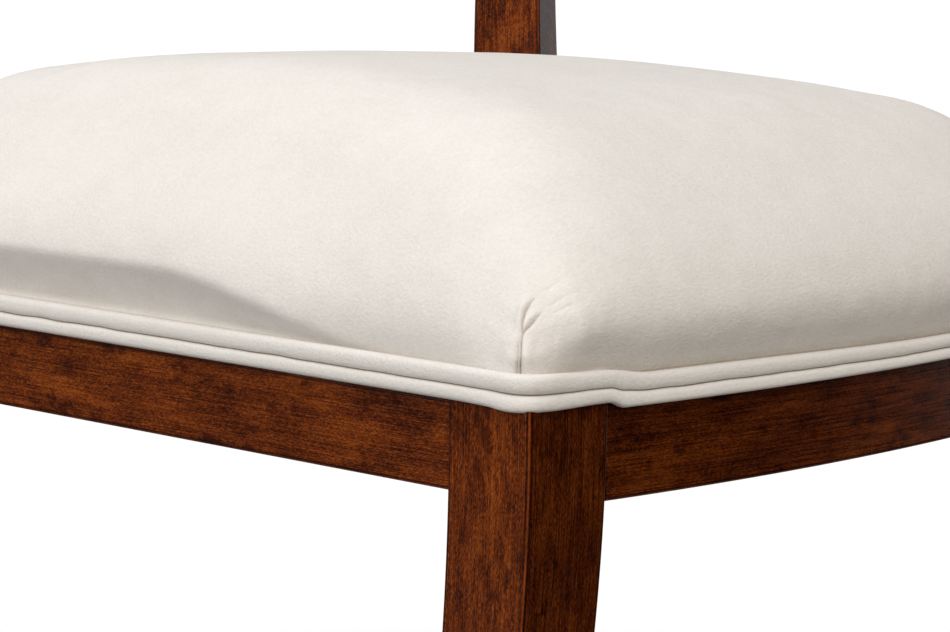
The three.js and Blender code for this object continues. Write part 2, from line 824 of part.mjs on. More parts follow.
function addSeat() {
  const screws = onBothSides(Object.values(corners).map((corner) => holeFor(seatScrew(corner))));
  const boardInset = coverInset + coverThickness + clearance;
  const boardNotches = onBothSides([postNotch(2 * clearance + coverThickness)]);
  const board = seatPanel(boardInset, clearance, boardThickness);
  add('seat_board', cut(board, [...boardNotches, ...screws]), 'plywood');
  add('seat_foam', seatFoam(boardNotches), 'foam');
  add('seat_cover', seatCover(), 'velvet');
  add('welt_front', welt(frontWeltPath(), notches), 'velvet');
  add('welt_back', welt(backWeltPath(), notches), 'velvet');
  const openingInset = railSetback + railThickness + dustCoverMargin;
  const cloth = seatPanel(openingInset, -dustCoverThickness, dustCoverThickness);
  add('dust_cover', cut(cloth, [...notches, ...onBothSides([legCutter]), ...screws]), 'cambric');
}

addFrame();
addJoinery();
addSeat();

// Stand the chair with the middle of its box over the origin
const box = new THREE.Box3().setFromObject(chair);
chair.position.y = -(box.min.y + box.max.y) / 2;

export default chair;
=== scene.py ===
"""Looks of a klismos chair: stained wood, a crowned velvet seat, double welt and soft studio light."""
import math

import bmesh
import bpy
import numpy as np
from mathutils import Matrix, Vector, noise


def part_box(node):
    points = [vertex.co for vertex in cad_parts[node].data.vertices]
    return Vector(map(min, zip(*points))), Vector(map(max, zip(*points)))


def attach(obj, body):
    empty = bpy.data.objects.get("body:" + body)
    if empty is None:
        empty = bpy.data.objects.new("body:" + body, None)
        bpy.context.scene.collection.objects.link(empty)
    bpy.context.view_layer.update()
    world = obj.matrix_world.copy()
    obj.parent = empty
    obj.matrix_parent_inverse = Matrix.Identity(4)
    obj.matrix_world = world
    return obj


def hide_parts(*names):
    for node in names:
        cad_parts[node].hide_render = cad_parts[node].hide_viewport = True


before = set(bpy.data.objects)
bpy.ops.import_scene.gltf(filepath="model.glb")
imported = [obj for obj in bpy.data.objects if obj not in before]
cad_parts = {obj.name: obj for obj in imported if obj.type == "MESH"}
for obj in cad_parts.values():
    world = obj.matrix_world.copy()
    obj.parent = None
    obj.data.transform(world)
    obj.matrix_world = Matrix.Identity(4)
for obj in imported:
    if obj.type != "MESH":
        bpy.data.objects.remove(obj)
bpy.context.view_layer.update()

# Sizes of the chair, in metres
CLEARANCE = 0.0003
SEAT_WIDTH = 0.500
SEAT_DEPTH = 0.430
SEAT_HEIGHT = 0.384
SEAT_FALL_SHARE = 0.033
RAIL_HEIGHT = 0.037
RAIL_THICKNESS = 0.022
RAIL_SETBACK = 0.0015
RAIL_EDGE = 0.0015
SIDE_RAIL_HEIGHT = 0.040
SIDE_RAIL_RADIUS = 1.330
SIDE_RAIL_FLARE = math.radians(1.3)

LEG_WIDTH = 0.045
LEG_DEPTH = 0.045
LEG_FOOT_WIDTH = 0.032
LEG_FOOT_DEPTH = 0.030
LEG_SWEEP = 0.077
LEG_TAPER_POWER = 1.6
SWEEP_POWER = 2
LEG_EDGE = 0.0015

POST_TURN = math.radians(19)
POST_INSET = 0.0176
POST_WIDTH = 0.048
POST_DEPTH = 0.029
POST_FOOT_WIDTH = 0.033
POST_FOOT_DEPTH = 0.027
POST_TOP_WIDTH = 0.032
POST_TOP_DEPTH = 0.019
POST_FORWARD_HEIGHT = 0.495
POST_FOOT_SWEEP = 0.085
POST_TOP_SWEEP = 0.075
POST_TOP_RADIUS = 0.009
POST_BELOW_CREST_TOP = 0.016

CREST_TOP = 0.872
CREST_HEIGHT = 0.098
CREST_THICKNESS = 0.020
CREST_OVERHANG = 0.032
CREST_END_RADIUS = 0.013
CREST_EDGE = 0.004
CREST_RISE = 0.006

GLIDE_HEIGHT = 0.004
BOARD_THICKNESS = 0.0124
COVER_THICKNESS = 0.0016
COVER_INSET = 0.0025
CORNER_RADIUS = 0.012
CORNER_OPENING = 5
FOAM_WALL = 0.082
FOAM_CROWN = 0.0268
EDGE_ROLL = 0.087
ROLL_POWER = 2.06
CROWN_SIDE_POWER = 1.8
CROWN_DEPTH_POWER = 2.8
CROWN_PEAK_SHARE = -0.5
WELT_RADIUS = 0.00325
DUST_COVER_MARGIN = 0.012

# Camera, as fitted to the photograph
CAMERA_PLACE = (1.159, -1.17503, 0.608)
CAMERA_DOWN = math.radians(8.10)
CAMERA_TURN = math.radians(44.84)
CAMERA_LENS = 130.89
CAMERA_SENSOR = 36
CAMERA_SIGHT = 200

# The construction's y, which is 0 at the fronts of the front legs, in the row's frame
FRONT_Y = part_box("front_rail")[0].y - RAIL_SETBACK

SEAT_REAR = float(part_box("back_rail")[1].y) - FRONT_Y + RAIL_SETBACK
HALF_WIDTH = SEAT_WIDTH / 2
LEG_BOTTOM = GLIDE_HEIGHT + CLEARANCE
POST_TOP = CREST_TOP - POST_BELOW_CREST_TOP
RAIL_MIDDLE = SEAT_HEIGHT - SEAT_FALL_SHARE * SEAT_DEPTH - RAIL_HEIGHT / 2
SIDE_CENTRE_X = HALF_WIDTH - RAIL_SETBACK - SIDE_RAIL_RADIUS * math.cos(SIDE_RAIL_FLARE)
SIDE_CENTRE_Y = LEG_DEPTH + SIDE_RAIL_RADIUS * math.sin(SIDE_RAIL_FLARE)
BOARD_TOP = CLEARANCE + BOARD_THICKNESS
WELT_TOP = CLEARANCE + 4 * WELT_RADIUS

# Fineness of the wooden surfaces, and where each piece lies in the board that it was cut from
ARC_STEPS = 6
SIDE_SHARES = (0.014, 0.35, 0.65, 0.986)
CREST_SIDE_SHARES = tuple(np.linspace(0.02, 0.98, 9))
SHARP_ANGLE = math.radians(55)
ARRIS_FALL_SHARE = 0.65
CUT_PLACES = {
    "front_leg": (0.31, 0.17, 0.05), "rear_post": (0.73, 0.41, 0.23), "side_rail": (1.19, 0.67, 0.4),
    "front_rail": (0.11, 1.3, 0.9), "back_rail": (1.6, 0.8, 0.35), "crest_rail": (2.1, 0.2, 1.4)}

# The pad before its walls are drawn in, and how its cloth swells
PAD_EXTRA = 0.0022
PAD_SKIRT = 0.010
PAD_FACE = 0.005
PAD_POST_GAP = 0.0012
COVER_POST_GAP = 0.0006
CLOTH_FRAMES = 14
CLOTH_CAP = 0.004
CLOTH_SHARE = 0.45
CLOTH_EDGE = 0.004
CLOTH_POST_REACH = 0.012

# The pad's walls: a START is the stretch from the corner over which a wall takes its form, a DRAW is how far
# its foot is drawn in, a SWELL is how far it stands out above, and heights are measured from the welt's top
FRONT_START_RIGHT = (0.070, 0.215)
FRONT_START_LEFT = (0.030, 0.120)
FRONT_DRAW = 0.0048
FRONT_SWELL = 0.0165
FRONT_FOLD_HEIGHT = 0.0245
FRONT_FOLD_SOFTNESS = 0.0020
CORNER_START = (0.010, 0.050)
CORNER_FOOT_DRAW = 0.0020
CORNER_SWELL = 0.0050
CORNER_GIRTH = (0.018, 0.045)
SIDE_START = (0.001, 0.027)
SIDE_DRAW = 0.0032
SIDE_SWELL = 0.0150
SIDE_GIRTH = (0.025, 0.058)
SIDE_FOLD = (0.020, 0.007)
BACK_HALF_WIDTH = 0.17
BACK_FADE = 0.08
BACK_DRAW = 0.0030
BACK_SWELL = 0.0100
BACK_FOLD = (0.022, 0.006)
FOLD_POWER = 1.15
FOLD_REACH = 0.058
FOLD_LEAST_HEIGHT = 1e-6
WALL_REACH = 0.095
WALL_FADE = 0.045
WALL_POST_REACH = 0.06
WALL_LEVELS = (-0.0010, 0.0004, 0.0018)
FOOT_SHADE_SHARE = 0.8
FOOT_SHADE_HEIGHTS = (-0.0012, 0.0010)

# The tighter turn of the pad's front corners
TURN_DRAW = 0.0036
TURN_REACH = 0.020
TURN_ACROSS = -0.0030
TURN_FOOT = 0.008
TURN_TOP = (0.030, 0.070)
TURN_DEPTH = (0.014, 0.036)

# Unevenness of the cover: depths, sizes of the waves, and the heights between which it comes or goes
LUMP_DEPTH = 0.0004
LUMP_SIZE = 0.060
LUMP_FOOT = 0.008
RIPPLE_DEPTH = 0.00008
RIPPLE_LOW_DEPTH = 0.00022
RIPPLE_SIZE = 0.012
RIPPLE_LOW_HEIGHTS = (0.045, 0.080)
GATHER_DEPTH = 0.00030
GATHER_SIZE = 0.0065
GATHER_STRETCH_SHARE = 0.45
FINE_GATHER_SHARE = 0.6
FINE_STRETCH_SHARE = 0.6
FINE_GATHER_SIZE = 0.0035
GATHER_FOOT = (0.004, 0.012)
GATHER_TOP = (0.014, 0.032)

# The pleats at the front corners, as (across, up) from the corner's foot, seen square to the corner
MAIN_PLEAT = [(-0.0037, -0.004), (-0.0039, 0.008), (-0.0031, 0.017)]
LEFT_BRANCH = [(-0.0032, 0.0165), (-0.0029, 0.0195), (-0.0016, 0.0241), (0.0010, 0.0276), (0.0042, 0.0306)]
RIGHT_BRANCH = [(-0.0030, 0.0160), (-0.0002, 0.0186), (0.0028, 0.0218), (0.0062, 0.0253)]
FAINT_LINES = [[(0.0062, 0.0253), (0.0140, 0.0300), (0.0260, 0.0350)],
               [(0.0042, 0.0306), (0.0120, 0.0352), (0.0220, 0.0405)],
               [(0.0085, 0.0235), (0.0170, 0.0272), (0.0280, 0.0300)]]
# Creases as depth, width and the share of their length where they begin to fade, ridges as height and width
MAIN_CREASE = (0.0017, 0.0005, 0.9)
SECOND_CREASE = (0.0011, 0.0004, 0.6)
SECOND_CREASE_BESIDE = 0.0012
BRANCH_CREASE = (0.0016, 0.00045, 0.4)
FAINT_CREASE = (0.00040, 0.0010, 0.1)
FAINT_START_SHARE = 0.15
MAIN_RIDGES = {0.0030: (0.0008, 0.0020), -0.0045: (0.0009, 0.0026)}
MAIN_RIDGE_TOP = (0.002, 0.018)
BRANCH_RIDGE = (0.0005, 0.0012)
BRANCH_RIDGE_BESIDE = -0.0018
BRANCH_RIDGE_START_SHARE = 0.3
PLEAT_ACROSS = 0.045
PLEAT_INWARD = 0.0542
PLEAT_HEIGHTS = (-0.006, 0.06)
PLEAT_SHADE_DEPTH = 0.0028
PLEAT_MIDDLE_INSET = 0.005
PLEAT_MIDDLE_HEIGHT = 0.012
PLEAT_REFINED = (0.038, 0.82, 3)
UNDERSIDE_FACING = -0.9

# The welt: its cords, and how they sag along the sides, bunch at the front corners and wander a little
CORD_SQUARENESS = 2.5
LOWER_CORD_ARC = (-110, 80)
UPPER_CORD_ARC = (-80, 110)
UPPER_CORD = 1.16
CORD_BUNCHING = 0.2
BUNCHING_REACH = (0.004, 0.020)
CORD_DROOP = 0.0007
DROOP_REACH = (0.006, 0.040)
DIP_REACH = (0.002, 0.012)
DIP_INSET = 0.010
DROOP_OUTWARD = (0.0022, 0.0042)
DROOP_UPWARD = (0.004, 0.008)
CORD_WANDER = 0.0004
WANDER_SIZE = 0.016
# Bands about the seam between the cords, as shares of its height, where it wanders and where shade is painted
# along it
WANDER_BAND = 0.6
SEAM_SHADE_BAND = 0.3
SEAM_SHADE_REACH = (0.62, 0.81)
RAIL_PUSH = 0.0008
SIDE_FACING_SHARE = 0.9
WELT_STEP = 0.0015
WELT_POST_GAP = 0.0008
# Sags as a depth and the stretch, from the front legs' faces, over which the welt comes down by it
WELT_TOP_SAGS = [(0.0006, 0.008, 0.030), (0.0029, 0.038, 0.068), (0.0020, 0.10, 0.30)]
WELT_BOTTOM_SAG = (0.0025, 0.043, 0.051)
SAG_HEIGHT = 0.055
SAG_REACH = (0.010, 0.060)

# The dust cover: rings are shares of the way from its middle to its edge, with heights by the rails' tops
DUST_COVER_INSET = RAIL_SETBACK + RAIL_THICKNESS + DUST_COVER_MARGIN
DUST_COVER_ROUNDING = 0.040
DUST_COVER_HEM = 0.012
DUST_COVER_SAG = 0.0022
DUST_COVER_POST_GAP = 0.0015
DUST_COVER_POST_LEVEL = SEAT_HEIGHT - 0.02
HEM_RINGS = [(0.94, 0.00045), (0.985, 0.00045), (1.0, 0.0001), (0.985, -0.00040)]
CLOTH_HEIGHT = -0.00045
CLOTH_RING_SHARES = (0.94, 0.88, *np.linspace(0.84, 0.02, 30))
CLOTH_GAUGE = 0.0003
CLOTH_LOOSENESS = 0.0005
LOOSE_START_SHARE = 0.03
LOOSE_END_SHARES = (0.05, 0.25)
STAPLE_HOLD = (0.003, 0.014)
STAPLE_GAUGE = 0.0006
STAPLE_LENGTH = 0.0095
STAPLE_SPACING = 0.027
STAPLE_INSET = 0.006
STAPLE_DROP = 0.0013


def mix(start, end, share):
    return start + (end - start) * share


def smooth_step(value, low, high):
    share = np.clip((value - low) / (high - low), 0, 1)
    return share * share * (3 - 2 * share)


def smooth_fall(value, low, high):
    return 1 - smooth_step(value, low, high)


def seat_plane(y):
    """Height of the sloping plane on top of the rails."""
    return SEAT_HEIGHT - SEAT_FALL_SHARE * y


def side_x(y):
    """Half width of the seat over the outer faces of the side rails."""
    along = np.maximum(y, LEG_DEPTH) - SIDE_CENTRE_Y
    return SIDE_CENTRE_X + np.sqrt(SIDE_RAIL_RADIUS**2 - along**2)


BACK_RADIUS = (float(side_x(SEAT_DEPTH)) - POST_INSET) / math.sin(POST_TURN)
BACK_AXIS_Y = SEAT_DEPTH - BACK_RADIUS * math.cos(POST_TURN)


# Meshes


def rounded(width, depth, radius, side_shares=SIDE_SHARES):
    """Rounded rectangles, one for each width and depth, counterclockwise, as offsets from the middle."""
    width, depth = np.broadcast_arrays(np.atleast_1d(width), np.atleast_1d(depth))
    arcs = []
    for quarter, (sx, sy) in enumerate([(1, 1), (-1, 1), (-1, -1), (1, -1)]):
        angle = (quarter + np.linspace(0, 1, ARC_STEPS + 1)) * math.pi / 2
        x = sx * (width[:, None] / 2 - radius) + radius * np.cos(angle)
        y = sy * (depth[:, None] / 2 - radius) + radius * np.sin(angle)
        arcs.append(np.stack([x, y], axis=-1))
    parts = []
    for quarter, arc in enumerate(arcs):
        start, end = arc[:, -1:], arcs[(quarter + 1) % 4][:, :1]
        parts += [arc, start + (end - start) * np.array(side_shares)[None, :, None]]
    return np.concatenate(parts, axis=1)


def lofted(rings, capped=True):
    """Vertices and faces of a surface through equal closed rings."""
    levels, count = rings.shape[:2]
    faces = []
    for level in range(levels - 1):
        for i in range(count):
            a, b = level * count + i, level * count + (i + 1) % count
            faces.append((a, b, b + count, a + count))
    if capped:
        faces.append(tuple(range(count - 1, -1, -1)))
        faces.append(tuple(range((levels - 1) * count, levels * count)))
    return rings.reshape(-1, 3), faces


def link_object(name, data):
    made = bpy.data.objects.new(name, data)
    bpy.context.scene.collection.objects.link(made)
    return made


def make_object(name, vertices, faces):
    """A mesh object from places in the construction's own frame."""
    mesh = bpy.data.meshes.new(name)
    placed = np.asarray(vertices, float) + [0, FRONT_Y, 0]
    mesh.from_pydata(placed.tolist(), [], faces)
    mesh.validate()
    mesh.update()
    mesh.shade_smooth()
    mesh.set_sharp_from_angle(angle=SHARP_ANGLE)
    return link_object(name, mesh)


def dress(piece, material):
    piece.data.materials.clear()
    piece.data.materials.append(material)


def finish_piece(piece, material, slot, *nodes):
    dress(piece, material)
    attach(piece, "root")
    if nodes:
        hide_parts(*nodes)
    return piece


def store(piece, name, values):
    """Keeps a number or a place for each vertex, which the materials read by this name."""
    kind, key = ("FLOAT", "value") if values.ndim == 1 else ("FLOAT_VECTOR", "vector")
    attribute = piece.data.attributes.new(name, kind, "POINT")
    attribute.data.foreach_set(key, values.astype(np.float32).ravel())


def coordinates(mesh):
    found = np.empty(len(mesh.vertices) * 3)
    mesh.vertices.foreach_get("co", found)
    return found.reshape(-1, 3) - [0, FRONT_Y, 0]


def set_coordinates(mesh, vertices):
    placed = vertices + [0, FRONT_Y, 0]
    mesh.vertices.foreach_set("co", placed.astype(np.float32).ravel())
    mesh.update()


def normals_of(mesh):
    found = np.empty(len(mesh.vertices) * 3)
    mesh.vertex_normals.foreach_get("vector", found)
    return found.reshape(-1, 3)


def evaluated_mesh(piece):
    graph = bpy.context.evaluated_depsgraph_get()
    return bpy.data.meshes.new_from_object(piece.evaluated_get(graph))


def modify(piece, kind, **settings):
    """Works a modifier into the piece's mesh."""
    modifier = piece.modifiers.new(kind.lower(), kind)
    for key, value in settings.items():
        setattr(modifier, key, value)
    mesh = evaluated_mesh(piece)
    piece.modifiers.clear()
    piece.data = mesh
    mesh.shade_smooth()


def edit_mesh(piece, change):
    """Changes the piece's mesh by a function of its editable form."""
    work = bmesh.new()
    work.from_mesh(piece.data)
    change(work)
    work.to_mesh(piece.data)
    work.free()


# Wooden pieces


def set_grain(piece, grain, shift):
    """Keeps each vertex's place in the straight board that the piece was cut from, and marks its edges, where
    wear with a painted glint and painted dark reflection lines go.
    """
    store(piece, "grain", grain.reshape(-1, 3) + shift)
    levels, count = grain.shape[:2]
    arc = 1 - ARRIS_FALL_SHARE * np.abs(np.linspace(-1, 1, ARC_STEPS + 1))
    side = np.r_[arc, np.zeros(count // 4 - ARC_STEPS - 1)]
    store(piece, "arris", np.tile(side, 4 * levels))


def leg_rings(levels=60):
    share = np.linspace(1, 0, levels)
    taper = share**LEG_TAPER_POWER
    width = mix(LEG_WIDTH, LEG_FOOT_WIDTH, taper)
    depth = mix(LEG_DEPTH, LEG_FOOT_DEPTH, taper)
    outline = rounded(width, depth, LEG_EDGE)
    y = -LEG_SWEEP * share[:, None] ** SWEEP_POWER + depth[:, None] / 2 + outline[..., 1]
    z = mix(seat_plane(y), LEG_BOTTOM, share[:, None])
    x = HALF_WIDTH - LEG_WIDTH / 2 + outline[..., 0]
    grain = np.stack([outline[..., 0], outline[..., 1], z], axis=-1)
    return np.stack([x, y, z], axis=-1), grain


def post_sweep(z):
    below = POST_FOOT_SWEEP * (np.maximum(POST_FORWARD_HEIGHT - z, 0) / POST_FORWARD_HEIGHT) ** SWEEP_POWER
    reach = CREST_TOP - POST_FORWARD_HEIGHT
    above = POST_TOP_SWEEP * (np.maximum(z - POST_FORWARD_HEIGHT, 0) / reach) ** SWEEP_POWER
    return below + above


def post_size(z, foot, middle, top):
    end = np.where(z < RAIL_MIDDLE, foot, top)
    reach = np.where(z < RAIL_MIDDLE, RAIL_MIDDLE, POST_TOP - RAIL_MIDDLE)
    share = np.abs(z - RAIL_MIDDLE) / reach
    return mix(middle, end, 1 - (1 - share) ** 2)


def post_width(z):
    return post_size(z, POST_FOOT_WIDTH, POST_WIDTH, POST_TOP_WIDTH)


def post_place(outward, backward, z):
    """A place measured across the right post's front face and back from it."""
    radius = BACK_RADIUS + post_sweep(z) + backward
    x = radius * math.sin(POST_TURN) + outward * math.cos(POST_TURN)
    y = BACK_AXIS_Y + radius * math.cos(POST_TURN) - outward * math.sin(POST_TURN)
    return np.stack(np.broadcast_arrays(x, y, z), axis=-1)


def from_post(x, y, z):
    """How far a place lies outward across the right post's front face, and how far behind that face."""
    face = post_place(0.0, 0.0, z)
    dx, dy = x - face[..., 0], y - face[..., 1]
    outward = dx * math.cos(POST_TURN) - dy * math.sin(POST_TURN)
    return outward, dx * math.sin(POST_TURN) + dy * math.cos(POST_TURN)


def post_rings(levels=110, top_steps=6):
    z = np.linspace(LEG_BOTTOM, POST_TOP - POST_TOP_RADIUS, levels)
    angle = np.linspace(0, math.pi / 2, top_steps + 1)[1:]
    z = np.concatenate([z, POST_TOP - POST_TOP_RADIUS * (1 - np.sin(angle))])
    drawn_in = np.concatenate([np.zeros(levels), POST_TOP_RADIUS * (1 - np.cos(angle))])
    width = post_width(z) - 2 * drawn_in
    depth = post_size(z, POST_FOOT_DEPTH, POST_DEPTH, POST_TOP_DEPTH) - drawn_in
    outline = rounded(width, depth, LEG_EDGE)
    height = np.repeat(z[:, None], outline.shape[1], axis=1)
    rings = post_place(outline[..., 0], outline[..., 1] + depth[:, None] / 2, height)
    return rings, np.stack([outline[..., 0], outline[..., 1], height], axis=-1)


def cross_rail_rings(end, middle_y, steps=12):
    outline = rounded(RAIL_THICKNESS, RAIL_HEIGHT, RAIL_EDGE)[0]
    y = middle_y + outline[:, 0]
    z = seat_plane(y) - RAIL_HEIGHT / 2 + outline[:, 1]
    x = np.linspace(-end, end, steps)[:, None]
    rings = np.stack(np.broadcast_arrays(x, y[None], z[None]), axis=-1)
    grain = np.stack(np.broadcast_arrays(outline[None, :, 0], outline[None, :, 1], x), axis=-1)
    return rings, grain


def back_rail_rings():
    """The rail between the posts, whose ends are cut along the posts' inner faces."""
    middle_y = SEAT_REAR - RAIL_SETBACK - RAIL_THICKNESS / 2
    rings, grain = cross_rail_rings(1.0, middle_y)
    y, z = rings[0, :, 1], rings[0, :, 2]
    face = post_place(0.0, 0.0, z)
    half_width = post_width(z) / 2 + CLEARANCE
    end = face[:, 0] + ((y - face[:, 1]) * math.sin(POST_TURN) - half_width) / math.cos(POST_TURN)
    rings[..., 0] *= end
    grain[..., 2] = rings[..., 0]
    return rings, grain


def side_rail_rings(start_y, steps=60, tries=400):
    """The curved rail from behind the front leg to the front face of the post, which it meets at an angle."""
    outline = rounded(RAIL_THICKNESS, SIDE_RAIL_HEIGHT, RAIL_EDGE)[0]
    radius = SIDE_RAIL_RADIUS - RAIL_THICKNESS / 2 + outline[None, :, 0]

    def places(angle):
        y = SIDE_CENTRE_Y + radius * np.sin(angle)
        z = seat_plane(y) - SIDE_RAIL_HEIGHT / 2 + outline[None, :, 1]
        return SIDE_CENTRE_X + radius * np.cos(angle), y, z

    tried_y = np.linspace(start_y, SEAT_DEPTH + POST_DEPTH, tries)
    tried = np.arcsin((tried_y - SIDE_CENTRE_Y) / SIDE_RAIL_RADIUS)
    behind = from_post(*places(tried[:, None]))[1]
    end = np.array([np.interp(-CLEARANCE, column, tried) for column in behind.T])
    start = np.arcsin((start_y - SIDE_CENTRE_Y) / radius[0])
    angle = end + (start - end) * np.linspace(0, 1, steps)[:, None]
    grain = np.broadcast_arrays(outline[None, :, 0], outline[None, :, 1], SIDE_RAIL_RADIUS * angle)
    return np.stack(places(angle), axis=-1), np.stack(grain, axis=-1)


def crest_rings(steps=90, end_steps=10):
    reach = POST_TURN + CREST_OVERHANG / BACK_RADIUS
    rounding = CREST_END_RADIUS / BACK_RADIUS
    end = reach - rounding * (1 - np.cos(np.linspace(0, math.pi / 2, end_steps + 1)[:-1]))
    middle = (reach - rounding) * np.linspace(1, -1, steps)
    angles = np.concatenate([end, middle, -end[::-1]])
    rest = np.minimum((reach - np.abs(angles)) * BACK_RADIUS, CREST_END_RADIUS)
    drop = CREST_END_RADIUS - np.sqrt(CREST_END_RADIUS**2 - (CREST_END_RADIUS - rest) ** 2)
    top = CREST_TOP - CREST_RISE * (angles / reach) ** 2 - drop
    bottom = CREST_TOP - CREST_HEIGHT + drop
    thickness = CREST_THICKNESS - np.maximum(CREST_EDGE - rest, 0)
    outline = rounded(thickness, top - bottom, CREST_EDGE, side_shares=CREST_SIDE_SHARES)
    z = ((top + bottom) / 2)[:, None] + outline[..., 1]
    radius = BACK_RADIUS + post_sweep(z) - CLEARANCE - CREST_THICKNESS / 2 - outline[..., 0]
    x = radius * np.sin(angles)[:, None]
    y = BACK_AXIS_Y + radius * np.cos(angles)[:, None]
    along = np.broadcast_to(BACK_RADIUS * angles[:, None], z.shape)
    return np.stack([x, y, z], axis=-1), np.stack([outline[..., 0], outline[..., 1], along], axis=-1)


def add_wood(name, rings, grain, material, side=""):
    """A wooden piece, or the one of a pair on this side. The left one mirrors the right one."""
    vertices, faces = lofted(rings)
    shift = np.array(CUT_PLACES[name])
    if side == "_left":
        vertices, faces = vertices * [-1, 1, 1], [face[::-1] for face in faces]
        shift *= [-1, 1, 1]
    piece = make_object(f"{name}{side}_wood", vertices, faces)
    set_grain(piece, grain, shift)
    finish_piece(piece, material, "stained_wood", f"{name}{side}")


def add_frame(material):
    side_rail = side_rail_rings(LEG_DEPTH + CLEARANCE)
    for side in ("_right", "_left"):
        add_wood("front_leg", *leg_rings(), material, side)
        add_wood("rear_post", *post_rings(), material, side)
        add_wood("side_rail", *side_rail, material, side)
    inner_end = HALF_WIDTH - LEG_WIDTH - CLEARANCE
    add_wood("front_rail", *cross_rail_rings(inner_end, RAIL_SETBACK + RAIL_THICKNESS / 2), material)
    add_wood("back_rail", *back_rail_rings(), material)
    add_wood("crest_rail", *crest_rings(), material)


# Upholstery


def above_seat(vertices):
    return vertices[:, 2] - seat_plane(vertices[:, 1])


def inside_cover(vertices):
    """How far each vertex lies in from the cover's nearest side."""
    return side_x(vertices[:, 1]) + RAIL_SETBACK - COVER_INSET - np.abs(vertices[:, 0])


def post_nearness(vertices, reach):
    """1 at the posts, falling to 0 at this distance from them."""
    outward, backward = from_post(np.abs(vertices[:, 0]), vertices[:, 1], vertices[:, 2])
    away = np.maximum(np.maximum(-outward - POST_WIDTH / 2, -backward), 0)
    return np.clip(1 - away / reach, 0, 1)


def keep_off_posts(vertices, gap):
    """Moves what lies in the corners taken by the rear posts to the posts' nearest face."""
    moved = vertices.copy()
    x, z = np.abs(moved[:, 0]), moved[:, 2]
    outward, backward = from_post(x, moved[:, 1], z)
    into_side, into_front = outward + post_width(z) / 2 + gap, backward + gap
    inside = (into_side > 0) & (into_front > 0)
    by_side = np.where(inside & (into_side < into_front), into_side, 0)
    by_front = np.where(inside & (into_side >= into_front), into_front, 0)
    x = x - by_side * math.cos(POST_TURN) - by_front * math.sin(POST_TURN)
    moved[:, 0] = np.sign(moved[:, 0]) * x
    moved[:, 1] += by_side * math.sin(POST_TURN) - by_front * math.cos(POST_TURN)
    return moved


def rolling(vertices, size, seed):
    """Soft noise between -1 and 1 at each vertex."""
    place = vertices / size + seed
    return np.array([noise.noise(Vector(row)) for row in place])


def square_walk(side_steps):
    """Places round a square of half side 1, counterclockwise from its right front corner."""
    along = np.sin((np.arange(side_steps) / side_steps - 0.5) * math.pi)
    one = np.ones(side_steps)
    return np.concatenate([one, -along, -one, along]), np.concatenate([along, one, -along, -one])


def seat_place(a, b, share, inset, radius):
    """Places between the seat's middle and its inset edge, whose corners are cut as deep as round ones."""
    power = math.log(0.5) / np.log(1 - radius * (1 - math.sqrt(0.5)) / HALF_WIDTH)
    rounding = share * (np.abs(a) ** power + np.abs(b) ** power) ** (-1 / power)
    y = inset + (SEAT_REAR / 2 - inset) * (1 + b * rounding)
    return a * rounding * (side_x(y) + RAIL_SETBACK - inset), y


def roll_share(distance):
    share = np.clip(distance / EDGE_ROLL, 0, 1)
    return (1 - (1 - share) ** ROLL_POWER) ** (1 / ROLL_POWER)


def crown_share(a, b):
    reach = np.where(b > CROWN_PEAK_SHARE, 1 - CROWN_PEAK_SHARE, 1 + CROWN_PEAK_SHARE)
    from_peak = np.minimum(np.abs(b - CROWN_PEAK_SHARE) / reach, 1)
    return (1 - np.minimum(np.abs(a), 1) ** CROWN_SIDE_POWER) * (1 - from_peak**CROWN_DEPTH_POWER)


def cushion_rings(ring_steps=48, side_steps=64):
    """The crowned seat from its edge to its middle."""
    a, b = square_walk(side_steps)
    half = SEAT_REAR / 2 - COVER_INSET
    rings = []
    for step in range(ring_steps):
        share = math.cos(step / ring_steps * math.pi / 2)
        radius = mix(EDGE_ROLL, CORNER_RADIUS, share**CORNER_OPENING)
        x, y = seat_place(a, b, share, COVER_INSET, radius)
        reach = side_x(y) + RAIL_SETBACK - COVER_INSET
        across, back = x / reach, (y - COVER_INSET) / half - 1
        roll = roll_share((1 - np.abs(across)) * reach) * roll_share((1 - np.abs(back)) * half)
        z = BOARD_TOP + CLEARANCE + (FOAM_WALL + PAD_EXTRA) * roll + FOAM_CROWN * crown_share(across, back)
        rings.append(np.stack([x, y, z + seat_plane(y)], axis=-1))
    return np.array(rings)


def add_cloth(piece):
    """Cloth under an even pressure, held at its edge and at the posts."""
    cloth = piece.modifiers.new("cloth", "CLOTH")
    settings = cloth.settings
    settings.quality = 5
    settings.mass = 0.3
    settings.tension_stiffness = 30
    settings.compression_stiffness = 30
    settings.shear_stiffness = 15
    settings.bending_stiffness = 1.0
    settings.use_pressure = True
    settings.uniform_pressure_force = 1.2
    settings.vertex_group_mass = "held"
    settings.effector_weights.gravity = 0
    cloth.point_cache.frame_start = 1
    cloth.point_cache.frame_end = CLOTH_FRAMES


def inflate(piece):
    """Swells the pad by a cloth simulation and keeps a share of the result as its mesh."""
    start = coordinates(piece.data)
    edge = np.clip(1 - (above_seat(start) - WELT_TOP) / CLOTH_EDGE, 0, 1)
    weight = np.maximum(edge, post_nearness(start, CLOTH_POST_REACH))
    group = piece.vertex_groups.new(name="held")
    for index in np.flatnonzero(weight > 0):
        group.add([int(index)], float(weight[index]), "REPLACE")
    add_cloth(piece)
    for number in range(1, CLOTH_FRAMES + 1):
        bpy.context.scene.frame_set(number)
    move = coordinates(evaluated_mesh(piece)) - start
    piece.modifiers.clear()
    bpy.context.scene.frame_set(1)
    length = np.maximum(np.linalg.norm(move, axis=1, keepdims=True), np.finfo(float).tiny)
    capped = CLOTH_CAP * np.tanh(length / CLOTH_CAP)
    set_coordinates(piece.data, start + CLOTH_SHARE * move * capped / length)


